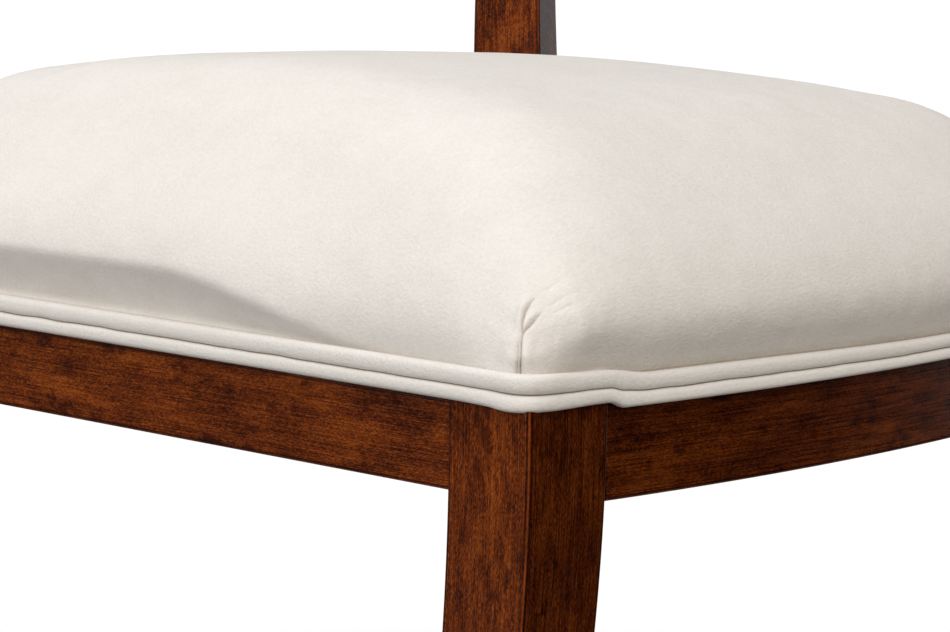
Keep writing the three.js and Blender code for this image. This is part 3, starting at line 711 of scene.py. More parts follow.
def girth(above, height, reach):
    """Share of a wall's swelling: none at its foot, full at this height, none from the reach above it."""
    rising = 1 - (1 - np.clip(above / height, 0, 1)) ** 2
    falling = (1 - np.clip((above - height) / reach, 0, 1) ** 2) ** 2
    return np.where(above < height, rising, falling)


def folded(above, height, softness, samples=9):
    """The same for a wall that turns in under a soft edge: rising evenly up to it, then leaning back."""
    height = np.maximum(height, FOLD_LEAST_HEIGHT)
    total = 0
    for offset in np.linspace(-softness, softness, samples):
        level = above + offset
        rising = np.clip(level / height, 0, 1) ** FOLD_POWER
        falling = (1 - np.clip((level - height) / FOLD_REACH, 0, 1) ** 2) ** 2
        total = total + np.where(level < height, rising, falling)
    return total / samples


def draw_in_walls(vertices):
    """Draws the walls' feet in over the board's edge and swells them above, most away from the corners."""
    x, y = np.abs(vertices[:, 0]), vertices[:, 1]
    above = above_seat(vertices) - WELT_TOP
    from_side, from_front, from_back = inside_cover(vertices), y - COVER_INSET, SEAT_REAR - COVER_INSET - y
    near_post = 1 - post_nearness(vertices, WALL_POST_REACH)

    def on_wall(distance):
        return smooth_step(above, *WALL_LEVELS[:2]) * smooth_step(WALL_REACH - distance, 0, WALL_FADE)

    on_right, on_left = smooth_step(from_side, *FRONT_START_RIGHT), smooth_step(from_side, *FRONT_START_LEFT)
    share = np.where(vertices[:, 0] > 0, on_right, on_left)
    fold = folded(above, FRONT_FOLD_HEIGHT * share, FRONT_FOLD_SOFTNESS)
    front = share * (FRONT_SWELL * fold - FRONT_DRAW)
    by_corner = CORNER_SWELL * girth(above, *CORNER_GIRTH) - CORNER_FOOT_DRAW
    front += smooth_step(from_side, *CORNER_START) * (1 - share) * by_corner

    share = smooth_step(from_front, *SIDE_START) * near_post
    swell = (girth(above, *SIDE_GIRTH) + folded(above, *SIDE_FOLD)) / 2
    side = share * (SIDE_SWELL * swell - SIDE_DRAW)

    share = smooth_step(BACK_HALF_WIDTH - x, 0.0, BACK_FADE) * near_post
    back = share * (BACK_SWELL * folded(above, *BACK_FOLD) - BACK_DRAW)

    moved = vertices.copy()
    moved[:, 0] += np.sign(vertices[:, 0]) * side * on_wall(from_side)
    moved[:, 1] += back * on_wall(from_back) - front * on_wall(from_front)
    return moved


def corner_places(vertices):
    """How far vertices lie across the front corner's diagonal, inward along it and above the welt's top."""
    from_side, from_front = HALF_WIDTH - np.abs(vertices[:, 0]), vertices[:, 1]
    across, inward = from_front - from_side, from_front + from_side
    return across / math.sqrt(2), inward / math.sqrt(2), above_seat(vertices) - WELT_TOP


def square_corners(vertices):
    """Turns the pad's front corners more tightly, as the drawn cover does beside the pleat."""
    across, inward, up = corner_places(vertices)
    draw = np.maximum(0, 1 - np.abs(across - TURN_ACROSS) / TURN_REACH) ** 2
    draw *= smooth_step(up, 0.0, TURN_FOOT) * smooth_fall(up, *TURN_TOP)
    draw *= TURN_DRAW * smooth_fall(inward, *TURN_DEPTH) / math.sqrt(2)
    return vertices + np.stack([np.sign(vertices[:, 0]) * draw, -draw, np.zeros(len(draw))], axis=-1)


def unevenness(vertices):
    """Soft lumps all over the cover, and fine gathers low on its walls, as heights over each vertex."""
    low = smooth_fall(above_seat(vertices), *RIPPLE_LOW_HEIGHTS)
    lumps = LUMP_DEPTH * rolling(vertices, LUMP_SIZE, seed=3.1)
    lumps += (RIPPLE_DEPTH + RIPPLE_LOW_DEPTH * low) * rolling(vertices, RIPPLE_SIZE, seed=7.7)
    up = above_seat(vertices) - WELT_TOP
    drawn = smooth_step(up, *GATHER_FOOT) * smooth_fall(up, *GATHER_TOP)
    gathers = rolling(vertices * [1, 1, GATHER_STRETCH_SHARE], GATHER_SIZE, seed=11.3)
    gathers += FINE_GATHER_SHARE * rolling(vertices * [1, 1, FINE_STRETCH_SHARE], FINE_GATHER_SIZE, seed=2.9)
    return lumps * smooth_step(up, 0.0, LUMP_FOOT) + GATHER_DEPTH * drawn * gathers


def welt_sag(y):
    """How far the top and the bottom of the side welt hang below its level over the front leg's face."""
    top = sum(depth * smooth_step(y, start, end) for depth, start, end in WELT_TOP_SAGS)
    depth, start, end = WELT_BOTTOM_SAG
    return top, depth * smooth_step(y, start, end)


def sag_with_welt(vertices):
    """Draws the side walls' feet down to the sagging welt."""
    low = smooth_fall(above_seat(vertices) - WELT_TOP, 0.0, SAG_HEIGHT)
    beside = smooth_fall(inside_cover(vertices), *SAG_REACH)
    moved = vertices.copy()
    moved[:, 2] -= UPPER_CORD * welt_sag(vertices[:, 1])[0] * low * beside
    return moved


def slice_pad(work, height, **settings):
    """Cuts the pad along the plane at this height over the rails' tops."""
    everything = [*work.verts, *work.edges, *work.faces]
    bmesh.ops.bisect_plane(work, geom=everything, plane_co=(0, FRONT_Y, SEAT_HEIGHT + height),
                           plane_no=(0, SEAT_FALL_SHARE, 1), **settings)


def slice_walls(work):
    """Adds lines of vertices round the pad close to the welt's top."""
    for level in WALL_LEVELS:
        slice_pad(work, WELT_TOP + level)


def refine_corner(piece, side):
    """Divides the faces near a front corner's pleat so that small folds can be shaped there."""
    centre = Vector((side * (HALF_WIDTH - PLEAT_MIDDLE_INSET), FRONT_Y + PLEAT_MIDDLE_INSET,
                     SEAT_HEIGHT + WELT_TOP + PLEAT_MIDDLE_HEIGHT))
    reach, narrowing, times = PLEAT_REFINED

    def divide(work):
        near = [face for face in work.faces
                if (face.calc_center_median() - centre).length < reach and face.normal.z > UNDERSIDE_FACING]
        edges = list({edge for face in near for edge in face.edges})
        bmesh.ops.subdivide_edges(work, edges=edges, cuts=1, use_grid_fill=True)

    for _ in range(times):
        edit_mesh(piece, divide)
        reach *= narrowing
    piece.data.shade_smooth()


def nearest_on_line(points, line):
    """Signed distance to a chosen line of points, and how far along it, from 0 to 1."""
    line = np.array(line)
    lengths = arc_length(line)
    best = np.full(len(points), np.inf)
    signed, along = np.zeros(len(points)), np.zeros(len(points))
    for i in range(len(line) - 1):
        start, step = line[i], line[i + 1] - line[i]
        share = np.clip(((points - start) @ step) / (step @ step), 0, 1)
        gap = points - (start + share[:, None] * step)
        distance = np.linalg.norm(gap, axis=1)
        side = np.sign(step[0] * gap[:, 1] - step[1] * gap[:, 0])
        closer = distance < best
        best = np.where(closer, distance, best)
        signed = np.where(closer, -distance * side, signed)
        where = (lengths[i] + share * (lengths[i + 1] - lengths[i])) / lengths[-1]
        along = np.where(closer, where, along)
    return signed, along


def crease(signed, along, depth, width, fade_from):
    """A sharp fold that fades out towards its end."""
    return -depth * smooth_fall(along, fade_from, 1.0) * np.exp(-np.abs(signed) / width)


def ridge(signed, height, width):
    """A round swelling along a line."""
    return height * np.exp(-((signed / width) ** 2))


def pleat_corners(piece):
    """Shapes the pleats where the cover is gathered at the front corners.

    Gives how deep in a fold each vertex lies, from 0 to 1, as the share of shade painted there.
    """
    vertices = coordinates(piece.data)
    across, inward, up = corner_places(vertices)
    near = (np.abs(across) < PLEAT_ACROSS) & (inward < PLEAT_INWARD)
    near &= (up > PLEAT_HEIGHTS[0]) & (up < PLEAT_HEIGHTS[1])
    points = np.stack([across, up], axis=-1)[near]

    signed, along = nearest_on_line(points, MAIN_PLEAT)
    creases = crease(signed, along, *MAIN_CREASE)
    creases += crease(signed + SECOND_CREASE_BESIDE, along, *SECOND_CREASE)
    move = creases.copy()
    for beside, size in MAIN_RIDGES.items():
        move += smooth_fall(points[:, 1], *MAIN_RIDGE_TOP) * ridge(signed - beside, *size)
    for line in (LEFT_BRANCH, RIGHT_BRANCH):
        signed, along = nearest_on_line(points, line)
        branch = crease(signed, along, *BRANCH_CREASE)
        creases = np.minimum(creases, branch)
        swelling = smooth_fall(along, BRANCH_CREASE[2], 1.0)
        swelling *= smooth_step(along, 0.0, BRANCH_RIDGE_START_SHARE)
        move += branch + swelling * ridge(signed - BRANCH_RIDGE_BESIDE, *BRANCH_RIDGE)
    for line in FAINT_LINES:
        signed, along = nearest_on_line(points, line)
        move += crease(signed, along, *FAINT_CREASE) * smooth_step(along, 0, FAINT_START_SHARE)

    vertices[near] += normals_of(piece.data)[near] * move[:, None]
    set_coordinates(piece.data, vertices)
    shade = np.zeros(len(vertices))
    shade[near] = -creases / PLEAT_SHADE_DEPTH
    return np.clip(shade, 0, 1)


def close_over_board(work):
    """Cuts the pad level with the board's foot and turns its cover in and up round the board."""
    slice_pad(work, CLEARANCE, clear_inner=True)
    work.normal_update()
    for inward, up in ((COVER_THICKNESS, 0), (0, BOARD_THICKNESS)):
        rim = [edge for edge in work.edges if edge.is_boundary]
        outward = {vertex: vertex.normal.copy() for edge in rim for vertex in edge.verts}
        made = bmesh.ops.extrude_edge_only(work, edges=rim)["geom"]
        for vertex in (item for item in made if isinstance(item, bmesh.types.BMVert)):
            others = (edge.other_vert(vertex) for edge in vertex.link_edges)
            below = next(other for other in others if other in outward)
            flat = Vector((outward[below].x, outward[below].y, 0)).normalized()
            vertex.co += Vector((0, 0, up)) - flat * inward
        work.normal_update()
    bmesh.ops.contextual_create(work, geom=[edge for edge in work.edges if edge.is_boundary])
    bmesh.ops.recalc_face_normals(work, faces=work.faces)


def add_cushion(material):
    """The pad and its cover as one soft piece, from the swollen form down to the smallest folds."""
    rings = cushion_rings()
    foot = rings[:1] - [0, 0, BOARD_TOP + PAD_SKIRT]
    vertices, faces = lofted(np.concatenate([foot, rings]))
    piece = make_object("seat_velvet", keep_off_posts(vertices, PAD_POST_GAP), faces)
    modify(piece, "REMESH", mode="VOXEL", voxel_size=PAD_FACE)
    inflate(piece)
    modify(piece, "SUBSURF", levels=1, render_levels=1)
    for side in (1, -1):
        refine_corner(piece, side)
    edit_mesh(piece, slice_walls)
    vertices = square_corners(draw_in_walls(coordinates(piece.data)))
    set_coordinates(piece.data, keep_off_posts(vertices, COVER_POST_GAP))
    uneven = normals_of(piece.data) * unevenness(vertices)[:, None]
    set_coordinates(piece.data, coordinates(piece.data) + uneven)
    # Shade painted into the pleats' folds and in a line along the wall's foot just above the welt
    foot_shade = FOOT_SHADE_SHARE * smooth_fall(above_seat(vertices) - WELT_TOP, *FOOT_SHADE_HEIGHTS)
    store(piece, "groove_shade", np.maximum(pleat_corners(piece), foot_shade))
    set_coordinates(piece.data, sag_with_welt(coordinates(piece.data)))
    edit_mesh(piece, close_over_board)
    piece.data.shade_smooth()
    finish_piece(piece, material, "velvet", "seat_cover", "seat_foam")


def welt_section(steps=18):
    """The double welt's outline on offsets [outward, up]: two cords with a narrow dip between them."""
    r = WELT_RADIUS

    def lobe(height, arc):
        angle = np.radians(np.linspace(*arc, steps))
        turns = np.stack([np.cos(angle), np.sin(angle)], axis=-1)
        return [r, height] + r * np.sign(turns) * np.abs(turns) ** (2 / CORD_SQUARENESS)

    lower, upper = lobe(r, LOWER_CORD_ARC), lobe(3 * r, UPPER_CORD_ARC)
    upper[:, 1] = 2 * r + (upper[:, 1] - 2 * r) * UPPER_CORD
    back = np.array([[0, 4 * r - r / 2], [0, r / 2]])
    return np.concatenate([lower, upper, back])


def arc_length(path):
    steps = np.linalg.norm(np.diff(path, axis=0), axis=1)
    return np.concatenate([[0], np.cumsum(steps)])


def even_path(path, spacing):
    """The same path with evenly spaced points."""
    length = arc_length(path)
    count = int(length[-1] / spacing) + 1
    where = np.linspace(0, length[-1], count)
    return np.stack([np.interp(where, length, path[:, i]) for i in range(path.shape[1])], axis=-1)


def front_welt_path(side_steps=200):
    """From the right post along the seat's edge round the front to the left post."""
    a, b = square_walk(side_steps)
    rim = np.stack(seat_place(a, b, 1.0, COVER_INSET - CLEARANCE, CORNER_RADIUS), axis=-1)
    right, left = rim[:side_steps][::-1], rim[2 * side_steps:][::-1]
    path = even_path(np.concatenate([right, left]), WELT_STEP)
    backward = from_post(np.abs(path[:, 0]), path[:, 1], seat_plane(SEAT_DEPTH))[1]
    return path[backward < -WELT_POST_GAP]


def outward_normals(path):
    along = np.gradient(path, axis=0)
    along /= np.linalg.norm(along, axis=1, keepdims=True)
    return np.stack([-along[:, 1], along[:, 0]], axis=-1)


def welt_rings(path, normals):
    """The welt along its path, which sags behind the front legs' tops and hangs a little at the corners."""
    outline, middle = welt_section(), 2 * WELT_RADIUS
    out, up = outline.T
    height = up / (2 * middle)
    at_side = np.abs(normals[:, 0]) > SIDE_FACING_SHARE
    top_sag, bottom_sag = (at_side * sag for sag in welt_sag(path[:, 1]))
    from_side = HALF_WIDTH - np.abs(path[:, 0])
    from_corner = np.hypot(from_side, path[:, 1])
    from_dip = np.hypot(from_side - DIP_INSET, path[:, 1])
    bunched = 1 + CORD_BUNCHING * smooth_fall(from_corner, *BUNCHING_REACH)
    outward = bunched[:, None] * out + RAIL_PUSH * (bottom_sag[:, None] > 0) * np.clip(1 - 2 * height, 0, 1)
    x = path[:, 0, None] + normals[:, 0, None] * outward
    y = path[:, 1, None] + normals[:, 1, None] * outward
    droop = CORD_DROOP * (smooth_fall(from_corner, *DROOP_REACH) + smooth_fall(from_dip, *DIP_REACH))
    hanging = smooth_step(out, *DROOP_OUTWARD) * smooth_fall(up, *DROOP_UPWARD)
    wander = CORD_WANDER * rolling(np.c_[path, np.zeros(len(path))], WANDER_SIZE, seed=5.3)
    by_middle = np.exp(-(((up - middle) / (WANDER_BAND * middle)) ** 2))
    z = seat_plane(y) + CLEARANCE + up - droop[:, None] * hanging + wander[:, None] * by_middle
    z -= mix(bottom_sag[:, None], top_sag[:, None], height)
    # Shade painted along the seam between the cords
    between = np.abs(up - middle) < SEAM_SHADE_BAND * middle
    groove_shade = between * smooth_fall(out / middle, *SEAM_SHADE_REACH)
    return np.stack([x, y, z], axis=-1), np.tile(groove_shade, len(path))


def add_welt(name, path, normals, material):
    rings, groove_shade = welt_rings(path, normals)
    piece = make_object(f"{name}_velvet", *lofted(rings))
    store(piece, "groove_shade", groove_shade)
    finish_piece(piece, material, "velvet", name)


def add_welts(material):
    path = front_welt_path()
    add_welt("welt_front", path, outward_normals(path), material)
    low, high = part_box("welt_back")
    x = np.arange(low.x, high.x, WELT_STEP)
    path = np.stack([x, np.full(len(x), low.y - FRONT_Y)], axis=-1)
    add_welt("welt_back", path, np.tile([0.0, 1.0], (len(x), 1)), material)


def dust_cover_rim(side_steps=120):
    """The folded edge of the cloth, clear of the posts."""
    a, b = square_walk(side_steps)
    x, y = seat_place(a, b, 1.0, DUST_COVER_INSET, DUST_COVER_ROUNDING)
    rim = np.stack([x, y, np.full(len(x), DUST_COVER_POST_LEVEL)], axis=-1)
    return keep_off_posts(rim, DUST_COVER_POST_GAP)[:, :2]


def staple_places(rim, middle):
    """Middles and directions of the staples, evenly spaced inside the cloth's edge."""
    path = even_path(np.concatenate([rim, rim[:1]]), STAPLE_SPACING)[:-1]
    along = np.roll(path, -1, axis=0) - np.roll(path, 1, axis=0)
    along /= np.linalg.norm(along, axis=1, keepdims=True)
    inward = np.stack([-along[:, 1], along[:, 0]], axis=-1)
    inward *= np.sign(((middle - path) * inward).sum(1))[:, None]
    return path + inward * STAPLE_INSET, along


def add_staples(places, along, material, sides=8, bend_steps=4):
    """The staples' crowns, bent up at both ends into the cloth."""
    angle = np.arange(sides) / sides * 2 * math.pi
    circle = STAPLE_GAUGE / 2 * np.stack([np.cos(angle), np.sin(angle)], axis=-1)
    bend = np.linspace(0, math.pi / 2, bend_steps)
    rise = STAPLE_GAUGE * (1 - np.cos(bend))
    run = STAPLE_LENGTH / 2 - STAPLE_GAUGE + STAPLE_GAUGE * np.sin(bend)
    half = np.stack([run, rise, bend], axis=-1)
    vertices, faces = [], []
    for place, line in zip(places, along):
        across = np.array([-line[1], line[0]])
        level = seat_plane(place[1]) - STAPLE_DROP
        rings = []
        for x, z, turn in [*(half[::-1] * [-1, 1, -1]), *half]:
            shift = x - circle[:, 1] * math.sin(turn)
            flat = place + circle[:, :1] * across + shift[:, None] * line
            rings.append(np.c_[flat, level + z + circle[:, 1] * math.cos(turn)])
        ring_vertices, ring_faces = lofted(np.array(rings))
        faces += [tuple(index + len(vertices) for index in face) for face in ring_faces]
        vertices += list(ring_vertices)
    return finish_piece(make_object("dust_cover_staples", vertices, faces), material, "steel")


def cloth_rings(rim, middle, staples):
    """The cloth from its folded-in hem over its edge to its middle, sagging where no staple holds it."""
    rings = []
    for share, height in HEM_RINGS + [(share, CLOTH_HEIGHT) for share in CLOTH_RING_SHARES]:
        place = middle + (rim - middle) * share
        z = seat_plane(place[:, 1]) + height
        if height < 0:
            distance = np.min(np.linalg.norm(place[:, None] - staples[None], axis=2), axis=1)
            loose = smooth_step(1 - share, 0.0, LOOSE_START_SHARE) * smooth_fall(1 - share, *LOOSE_END_SHARES)
            loose = CLOTH_LOOSENESS * loose * smooth_step(distance, *STAPLE_HOLD)
            z -= DUST_COVER_SAG * (1 - share**2) ** 1.5 + loose
        rings.append(np.c_[place, z])
    return np.array(rings)


def add_dust_cover(material, steel):
    """Black cloth folded under at its edge and stapled up to the board's underside."""
    rim = dust_cover_rim()
    middle = np.array([0.0, SEAT_REAR / 2])
    staples, along = staple_places(rim, middle)
    rings = cloth_rings(rim, middle, staples)
    vertices, faces = lofted(rings, capped=False)
    faces.append(tuple(range(len(vertices) - len(rim), len(vertices))))
    piece = make_object("dust_cover_cloth", vertices, faces)
    modify(piece, "SOLIDIFY", thickness=CLOTH_GAUGE, offset=0)
    finish_piece(piece, material, "cambric", "dust_cover")
    pins = add_staples(staples, along, steel)
    ahead = np.roll(rim, -1, axis=0)
    area = abs((rim[:, 0] * ahead[:, 1] - rim[:, 1] * ahead[:, 0]).sum()) / 2
    area += np.linalg.norm(ahead - rim, axis=1).sum() * DUST_COVER_HEM


# Materials

# Noises: waves in a metre along x, y and z, detail, roughness, and the values that turn black and white
WOOD_BLOTCH = (62, 62, 20), 4, 0.66, (0.10, 0.90)
WOOD_STREAK = (1300, 1300, 26), 4, 0.62, (0.30, 0.70)
WOOD_FLECK = (2300, 2300, 620), 3, 0.66, (0.34, 0.66)
WOOD_STAIN = (85, 85, 50), 6, 0.74, (0.53, 0.62)
WEAR_GLINT_NOISE = (500, 500, 90), 3, 0.6, (0.30, 0.60)
VELVET_PILE = (2400, 2400, 2400), 2, 0.6
VELVET_BRUSHED = (60, 60, 60), 4, 0.6
VELVET_SOFT = (14, 14, 14), 3, 0.5
VELVET_NAP = (750, 400, 750), 4, 0.72, (0.28, 0.72)
CAMBRIC_WARP = (2600, 160, 2600), 2, 0.5
CAMBRIC_WEFT = (160, 2600, 2600), 2, 0.5

# Colours, and tints that darken them where the stain took, as painted shade on faces turned along x, as a
# painted dark reflection along an edge, or as painted shade in a fold; the worn edges' colour also stands for
# a painted glint
WOOD_COLOURS = [(0.24, (0.0100, 0.0017, 0.0004)), (0.42, (0.068, 0.0108, 0.0014)),
                (0.56, (0.170, 0.0320, 0.0034)), (0.74, (0.330, 0.0820, 0.0095))]
WORN_GLINT_COLOUR = (0.260, 0.052, 0.0080, 1)
STAIN_TINT = (0.45, 0.36, 0.30, 1)
SIDEWAYS_SHADE_TINT = (0.52, 0.50, 0.50, 1)
EDGE_DARK_REFLECTION_TINT = (0.36, 0.30, 0.26, 1)
VELVET_COLOURS = [(0.30, (0.775, 0.738, 0.696)), (0.50, (0.838, 0.806, 0.768)), (0.70, (0.890, 0.864, 0.832))]
VELVET_SHEEN_TINT = (1.0, 0.98, 0.95, 1)
GROOVE_SHADE_TINT = (0.46, 0.38, 0.30, 1)
CAMBRIC_COLOURS = [(0.35, (0.006, 0.006, 0.007)), (0.65, (0.030, 0.029, 0.030))]

# How much of each figure shows in the wood and the velvet, and where on a piece the wood's painted shade, its
# worn edges with a painted glint and its painted dark edge lines lie
STREAK_SHARE = 0.34
FLECK_SHARE = 0.32
NAP_SHARE = 0.40
PILE_SHARE = 0.20
SIDEWAYS_SHADE_FACING = (0.55, 0.85)
WORN_GLINT_ARRIS = (0.72, 0.95)
EDGE_DARK_REFLECTION = (0.40, 0.26)
WOOD_ROUGHNESS = (0.22, 0.38)
ROUGHNESS_SPREAD = 0.08


def new_material(name):
    material = bpy.data.materials.new(name)
    material.use_nodes = True
    return material, material.node_tree


def wire(tree, node, inputs):
    """Sets each input to a value, or links it where the value comes out of another node."""
    for key, value in inputs.items():
        if isinstance(value, bpy.types.NodeSocket):
            tree.links.new(value, node.inputs[key])
        else:
            node.inputs[key].default_value = value


def finish_material(material, inputs):
    tree = material.node_tree
    wire(tree, tree.nodes["Principled BSDF"], inputs)
    return material


def add_node(tree, kind, inputs=None, **settings):
    node = tree.nodes.new(f"ShaderNode{kind}")
    for key, value in settings.items():
        setattr(node, key, value)
    wire(tree, node, inputs or {})
    return node


def object_place(tree):
    return add_node(tree, "TexCoord").outputs["Object"]


def stored(tree, name, output="Fac"):
    """What each vertex keeps by this name."""
    return add_node(tree, "Attribute", attribute_name=name).outputs[output]


def maths(tree, operation, *values):
    return add_node(tree, "Math", dict(enumerate(values)), operation=operation).outputs["Value"]


def map_range(tree, value, start, end, **settings):
    """The value stretched from one range to another."""
    return add_node(tree, "MapRange", {
        "Value": value, "From Min": start[0], "From Max": start[1], "To Min": end[0], "To Max": end[1]},
        **settings).outputs["Result"]


def scaled_noise(tree, vector, scale, detail, roughness, contrast=None):
    mapping = add_node(tree, "Mapping", {"Vector": vector, "Scale": scale})
    found = add_node(tree, "TexNoise", {
        "Vector": mapping.outputs[0], "Scale": 1.0, "Detail": detail, "Roughness": roughness}).outputs["Fac"]
    return map_range(tree, found, contrast, (0, 1)) if contrast else found


def colour_ramp(tree, value, stops):
    node = add_node(tree, "ValToRGB", {"Fac": value})
    elements = node.color_ramp.elements
    while len(elements) < len(stops):
        elements.new(0.5)
    for element, (place, colour) in zip(elements, stops):
        element.position = place
        element.color = (*colour, 1)
    return node.outputs["Color"]


def mixed(tree, kind, factor, first, second):
    """Two colours mixed. The node's sockets for colours have no names of their own, so they are numbered."""
    inputs = {0: factor, 6: first, 7: second}
    return add_node(tree, "Mix", inputs, data_type="RGBA", blend_type=kind).outputs[2]


def bump(tree, height, distance, strength, below=None):
    inputs = {"Height": height, "Distance": distance, "Strength": strength}
    if below:
        inputs["Normal"] = below
    return add_node(tree, "Bump", inputs).outputs["Normal"]


def stained_wood():
    """Close-grained wood under a dark red-brown stain that took unevenly, with painted shade on the faces
    turned along x, worn edges that also carry a painted glint, and painted dark reflection lines beside them.
    """
    material, tree = new_material("stained_wood")
    grain, arris = stored(tree, "grain", "Vector"), stored(tree, "arris")
    blotch, streak, fleck, stain, wear_glint = (
        scaled_noise(tree, grain, *noises)
        for noises in (WOOD_BLOTCH, WOOD_STREAK, WOOD_FLECK, WOOD_STAIN, WEAR_GLINT_NOISE))
    tone = mixed(tree, "MIX", STREAK_SHARE, blotch, streak)
    tone = mixed(tree, "MIX", FLECK_SHARE, tone, fleck)
    colour = mixed(tree, "MULTIPLY", stain, colour_ramp(tree, tone, WOOD_COLOURS), STAIN_TINT)
    # Faces turned along x are darkened, as painted shade
    facing = add_node(tree, "TexCoord").outputs["Normal"]
    sideways = maths(tree, "ABSOLUTE", add_node(tree, "SeparateXYZ", {0: facing}).outputs["X"])
    sideways_shade = map_range(tree, sideways, SIDEWAYS_SHADE_FACING, (0, 1))
    colour = mixed(tree, "MULTIPLY", sideways_shade, colour, SIDEWAYS_SHADE_TINT)
    # The worn edges' lighter orange stands for both wear and a painted glint
    worn_glint = maths(tree, "MULTIPLY", wear_glint, map_range(tree, arris, WORN_GLINT_ARRIS, (0, 1)))
    colour = mixed(tree, "MIX", worn_glint, colour, WORN_GLINT_COLOUR)
    # Thin dark lines beside each arris's middle are a painted dark reflection
    colour = mixed(tree, "MULTIPLY", maths(tree, "COMPARE", arris, *EDGE_DARK_REFLECTION), colour, EDGE_DARK_REFLECTION_TINT)
    relief = mixed(tree, "MIX", 0.5, streak, fleck)
    return finish_material(material, {
        "Base Color": colour, "Roughness": map_range(tree, streak, (0, 1), WOOD_ROUGHNESS),
        "Specular IOR Level": 0.06, "Coat Weight": 0.20, "Coat Roughness": 0.16,
        "Normal": bump(tree, relief, distance=0.00008, strength=0.6)})


def velvet():
    """White velvet with a short uneven pile, with shade painted into its seams and folds."""
    material, tree = new_material("velvet")
    place = object_place(tree)
    pile, brushed, soft, nap = (
        scaled_noise(tree, place, *noises)
        for noises in (VELVET_PILE, VELVET_BRUSHED, VELVET_SOFT, VELVET_NAP))
    tone = mixed(tree, "MIX", 0.5, brushed, soft)
    tone = mixed(tree, "MIX", NAP_SHARE, tone, nap)
    tone = mixed(tree, "MIX", PILE_SHARE, tone, pile)
    colour = colour_ramp(tree, tone, VELVET_COLOURS)
    relief = bump(tree, nap, distance=0.0004, strength=0.55)
    # The velvet is darkened by the shade painted in its folds and along its seams
    return finish_material(material, {
        "Base Color": mixed(tree, "MULTIPLY", stored(tree, "groove_shade"), colour, GROOVE_SHADE_TINT),
        "Roughness": 0.95, "Specular IOR Level": 0.15,
        "Sheen Weight": 0.15, "Sheen Roughness": 0.5, "Sheen Tint": VELVET_SHEEN_TINT,
        "Normal": bump(tree, pile, distance=0.00020, strength=0.5, below=relief)})


def cambric():
    """Thin black cloth with a fine open weave."""
    material, tree = new_material("cambric")
    warp, weft = (scaled_noise(tree, object_place(tree), *noises) for noises in (CAMBRIC_WARP, CAMBRIC_WEFT))
    weave = mixed(tree, "MIX", 0.5, warp, weft)
    return finish_material(material, {
        "Base Color": colour_ramp(tree, weave, CAMBRIC_COLOURS), "Roughness": 0.9,
        "Specular IOR Level": 0.2, "Normal": bump(tree, weave, distance=0.0002, strength=0.7)})


def plain_wood(name, dark, light, scale):
    material, tree = new_material(name)
    tone = scaled_noise(tree, object_place(tree), scale, 4, 0.6)
    return finish_material(material, {
        "Base Color": colour_ramp(tree, tone, [(0.35, dark), (0.65, light)]), "Roughness": 0.75,
        "Normal": bump(tree, tone, distance=0.0002, strength=0.5)})


def speckled(name, dark, light, scale, roughness, metallic=0.0):
    """Metal or plastic with a fine speckle in its colour and its roughness."""
    material, tree = new_material(name)
    tone = scaled_noise(tree, object_place(tree), (scale,) * 3, 3, 0.55)
    rough = map_range(tree, tone, (0, 1), (roughness - ROUGHNESS_SPREAD, roughness + ROUGHNESS_SPREAD))
    return finish_material(material, {
        "Base Color": colour_ramp(tree, tone, [(0.3, dark), (0.7, light)]), "Roughness": rough,
        "Metallic": metallic, "Normal": bump(tree, tone, distance=0.00005, strength=0.6)})


def dress_nodes():
    """Materials for the construction's own pieces that show as they are."""
    beech = plain_wood("beech", (0.42, 0.24, 0.11), (0.62, 0.40, 0.21), (120, 900, 120))
    plywood = plain_wood("plywood", (0.40, 0.26, 0.13), (0.60, 0.43, 0.25), (90, 30, 1200))
    zinc = speckled("zinc", (0.42, 0.43, 0.45), (0.66, 0.66, 0.64), 900, 0.34, 1.0)
    plastic = speckled("glide_plastic", (0.020, 0.014, 0.011), (0.045, 0.033, 0.027), 1500, 0.5)
    looks = {"dowel": beech, "corner_block": beech, "seat_board": plywood,
             "block_screw": zinc, "seat_screw": zinc, "glide": plastic}
    for name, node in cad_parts.items():
        for start, material in looks.items():
            if name.startswith(start):
                dress(node, material)


# Stage

FLOOR_REACH = 1.15
FLOOR_FADE_SHARE = 0.35
FLOOR_MARGIN = 1.2
FLOOR_LIT = (0.26, 0.253, 0.245, 1)
FLOOR_SEEN = (0.90, 0.895, 0.89, 1)

# Brightness of the dome from straight below, at 0, to straight above, at 1
DOME = [(0.45, (0.125, 0.121, 0.116)), (0.52, (0.06, 0.055, 0.05)), (0.78, (0.12, 0.12, 0.12)),
        (0.89, (0.95, 0.95, 0.99)), (1.0, (0.99, 0.99, 1.03))]
BACKDROP = (1.05, 1.05, 1.05, 1)
# What the varnish mirrors, by how far back it lies: the dome, dimmed, and a bright panel behind the chair
MIRRORED_DIMMING = [(0.0, (1.1, 1.1, 1.1)), (0.45, (0.12, 0.12, 0.12))]
MIRRORED_PANEL = [(0.962, (0, 0, 0)), (0.990, (1.30, 1.50, 1.55))]


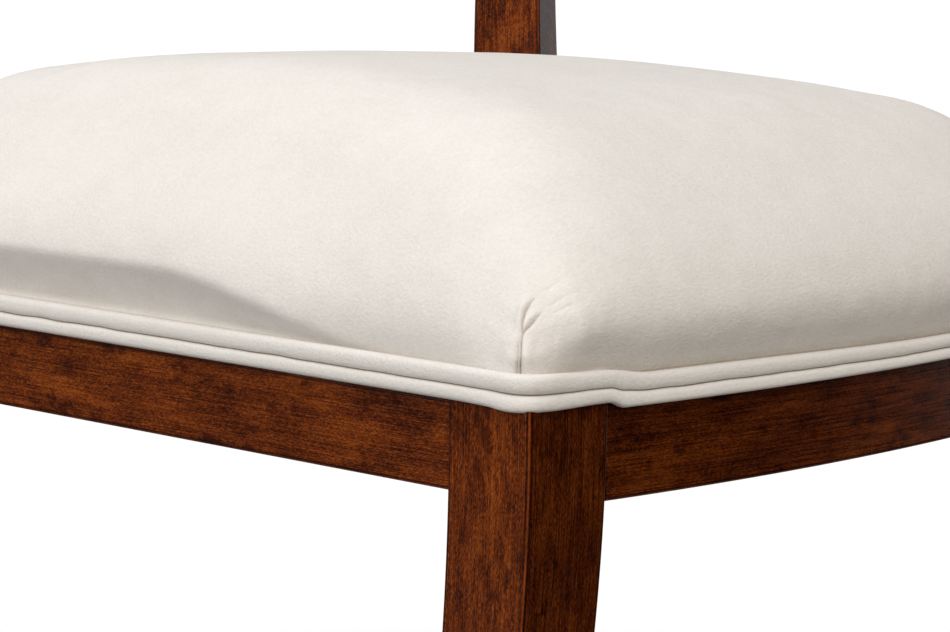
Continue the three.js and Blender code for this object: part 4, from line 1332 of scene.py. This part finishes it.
def add_floor():
    """A pale round of floor that fades into the backdrop round it."""
    material, tree = new_material("floor")
    seen = add_node(tree, "LightPath").outputs["Is Camera Ray"]
    finish_material(material, {
        "Base Color": mixed(tree, "MIX", seen, FLOOR_LIT, FLOOR_SEEN),
        "Roughness": 0.9, "Specular IOR Level": 0.0})
    away = add_node(tree, "VectorMath", {0: object_place(tree)}, operation="LENGTH").outputs["Value"]
    fade = map_range(tree, away, (FLOOR_FADE_SHARE * FLOOR_REACH, FLOOR_REACH), (0, 1),
                     interpolation_type="SMOOTHSTEP")
    shader, clear = tree.nodes["Principled BSDF"], add_node(tree, "BsdfTransparent")
    blend = add_node(tree, "MixShader", {0: fade, 1: shader.outputs[0], 2: clear.outputs[0]})
    wire(tree, tree.nodes["Material Output"], {"Surface": blend.outputs[0]})
    mesh = bpy.data.meshes.new("floor")
    reach = FLOOR_REACH * FLOOR_MARGIN
    mesh.from_pydata([(-reach, -reach, 0), (reach, -reach, 0), (reach, reach, 0), (-reach, reach, 0)],
                     [], [(0, 1, 2, 3)])
    floor = link_object("floor", mesh)
    dress(floor, material)


def add_world():
    """A white backdrop, a soft dome for the light that falls on the chair, and what its varnish mirrors."""
    world = bpy.data.worlds.new("studio")
    bpy.context.scene.world = world
    world.use_nodes = True
    tree = world.node_tree
    direction = add_node(tree, "TexCoord").outputs["Generated"]
    backward, upward = (add_node(tree, "SeparateXYZ", {0: direction}).outputs[axis] for axis in "YZ")
    dome = colour_ramp(tree, map_range(tree, upward, (-1, 1), (0, 1)), DOME)
    dimmed = mixed(tree, "MULTIPLY", 1.0, dome, colour_ramp(tree, backward, MIRRORED_DIMMING))
    varnish = mixed(tree, "LIGHTEN", 1.0, dimmed, colour_ramp(tree, backward, MIRRORED_PANEL))
    paths = add_node(tree, "LightPath").outputs
    colour = mixed(tree, "MIX", paths["Is Glossy Ray"], dome, varnish)
    colour = mixed(tree, "MIX", paths["Is Camera Ray"], colour, BACKDROP)
    wire(tree, tree.nodes["Background"], {"Color": colour})


def add_sun(name, direction, strength, spread, colour=(1, 1, 1)):
    """A far soft light that shines from this direction."""
    data = bpy.data.lights.new(name, "SUN")
    data.energy = strength
    data.angle = math.radians(spread)
    data.color = colour
    light = link_object(name, data)
    light.rotation_euler = Vector(direction).to_track_quat("Z", "Y").to_euler()


def add_camera():
    data = bpy.data.cameras.new("camera")
    data.sensor_width = CAMERA_SENSOR
    data.lens = CAMERA_LENS
    data.clip_end = CAMERA_SIGHT
    camera = link_object("camera", data)
    camera.location = CAMERA_PLACE
    camera.rotation_euler = (math.pi / 2 - CAMERA_DOWN, 0, CAMERA_TURN)
    bpy.context.scene.camera = camera


bpy.context.scene.view_settings.view_transform = "Standard"
add_camera()
add_floor()
add_world()
add_sun("key", direction=(-0.40, -0.85, 0.33), strength=1.25, spread=44)
add_sun("fill", direction=(0.76, -0.42, 0.50), strength=1.70, spread=58, colour=(1.0, 0.93, 0.83))
dress_nodes()
add_frame(stained_wood())
white_velvet = velvet()
add_cushion(white_velvet)
add_welts(white_velvet)
add_dust_cover(cambric(), speckled("staple_steel", (0.42, 0.43, 0.45), (0.62, 0.62, 0.61), 1400, 0.38, 1.0))
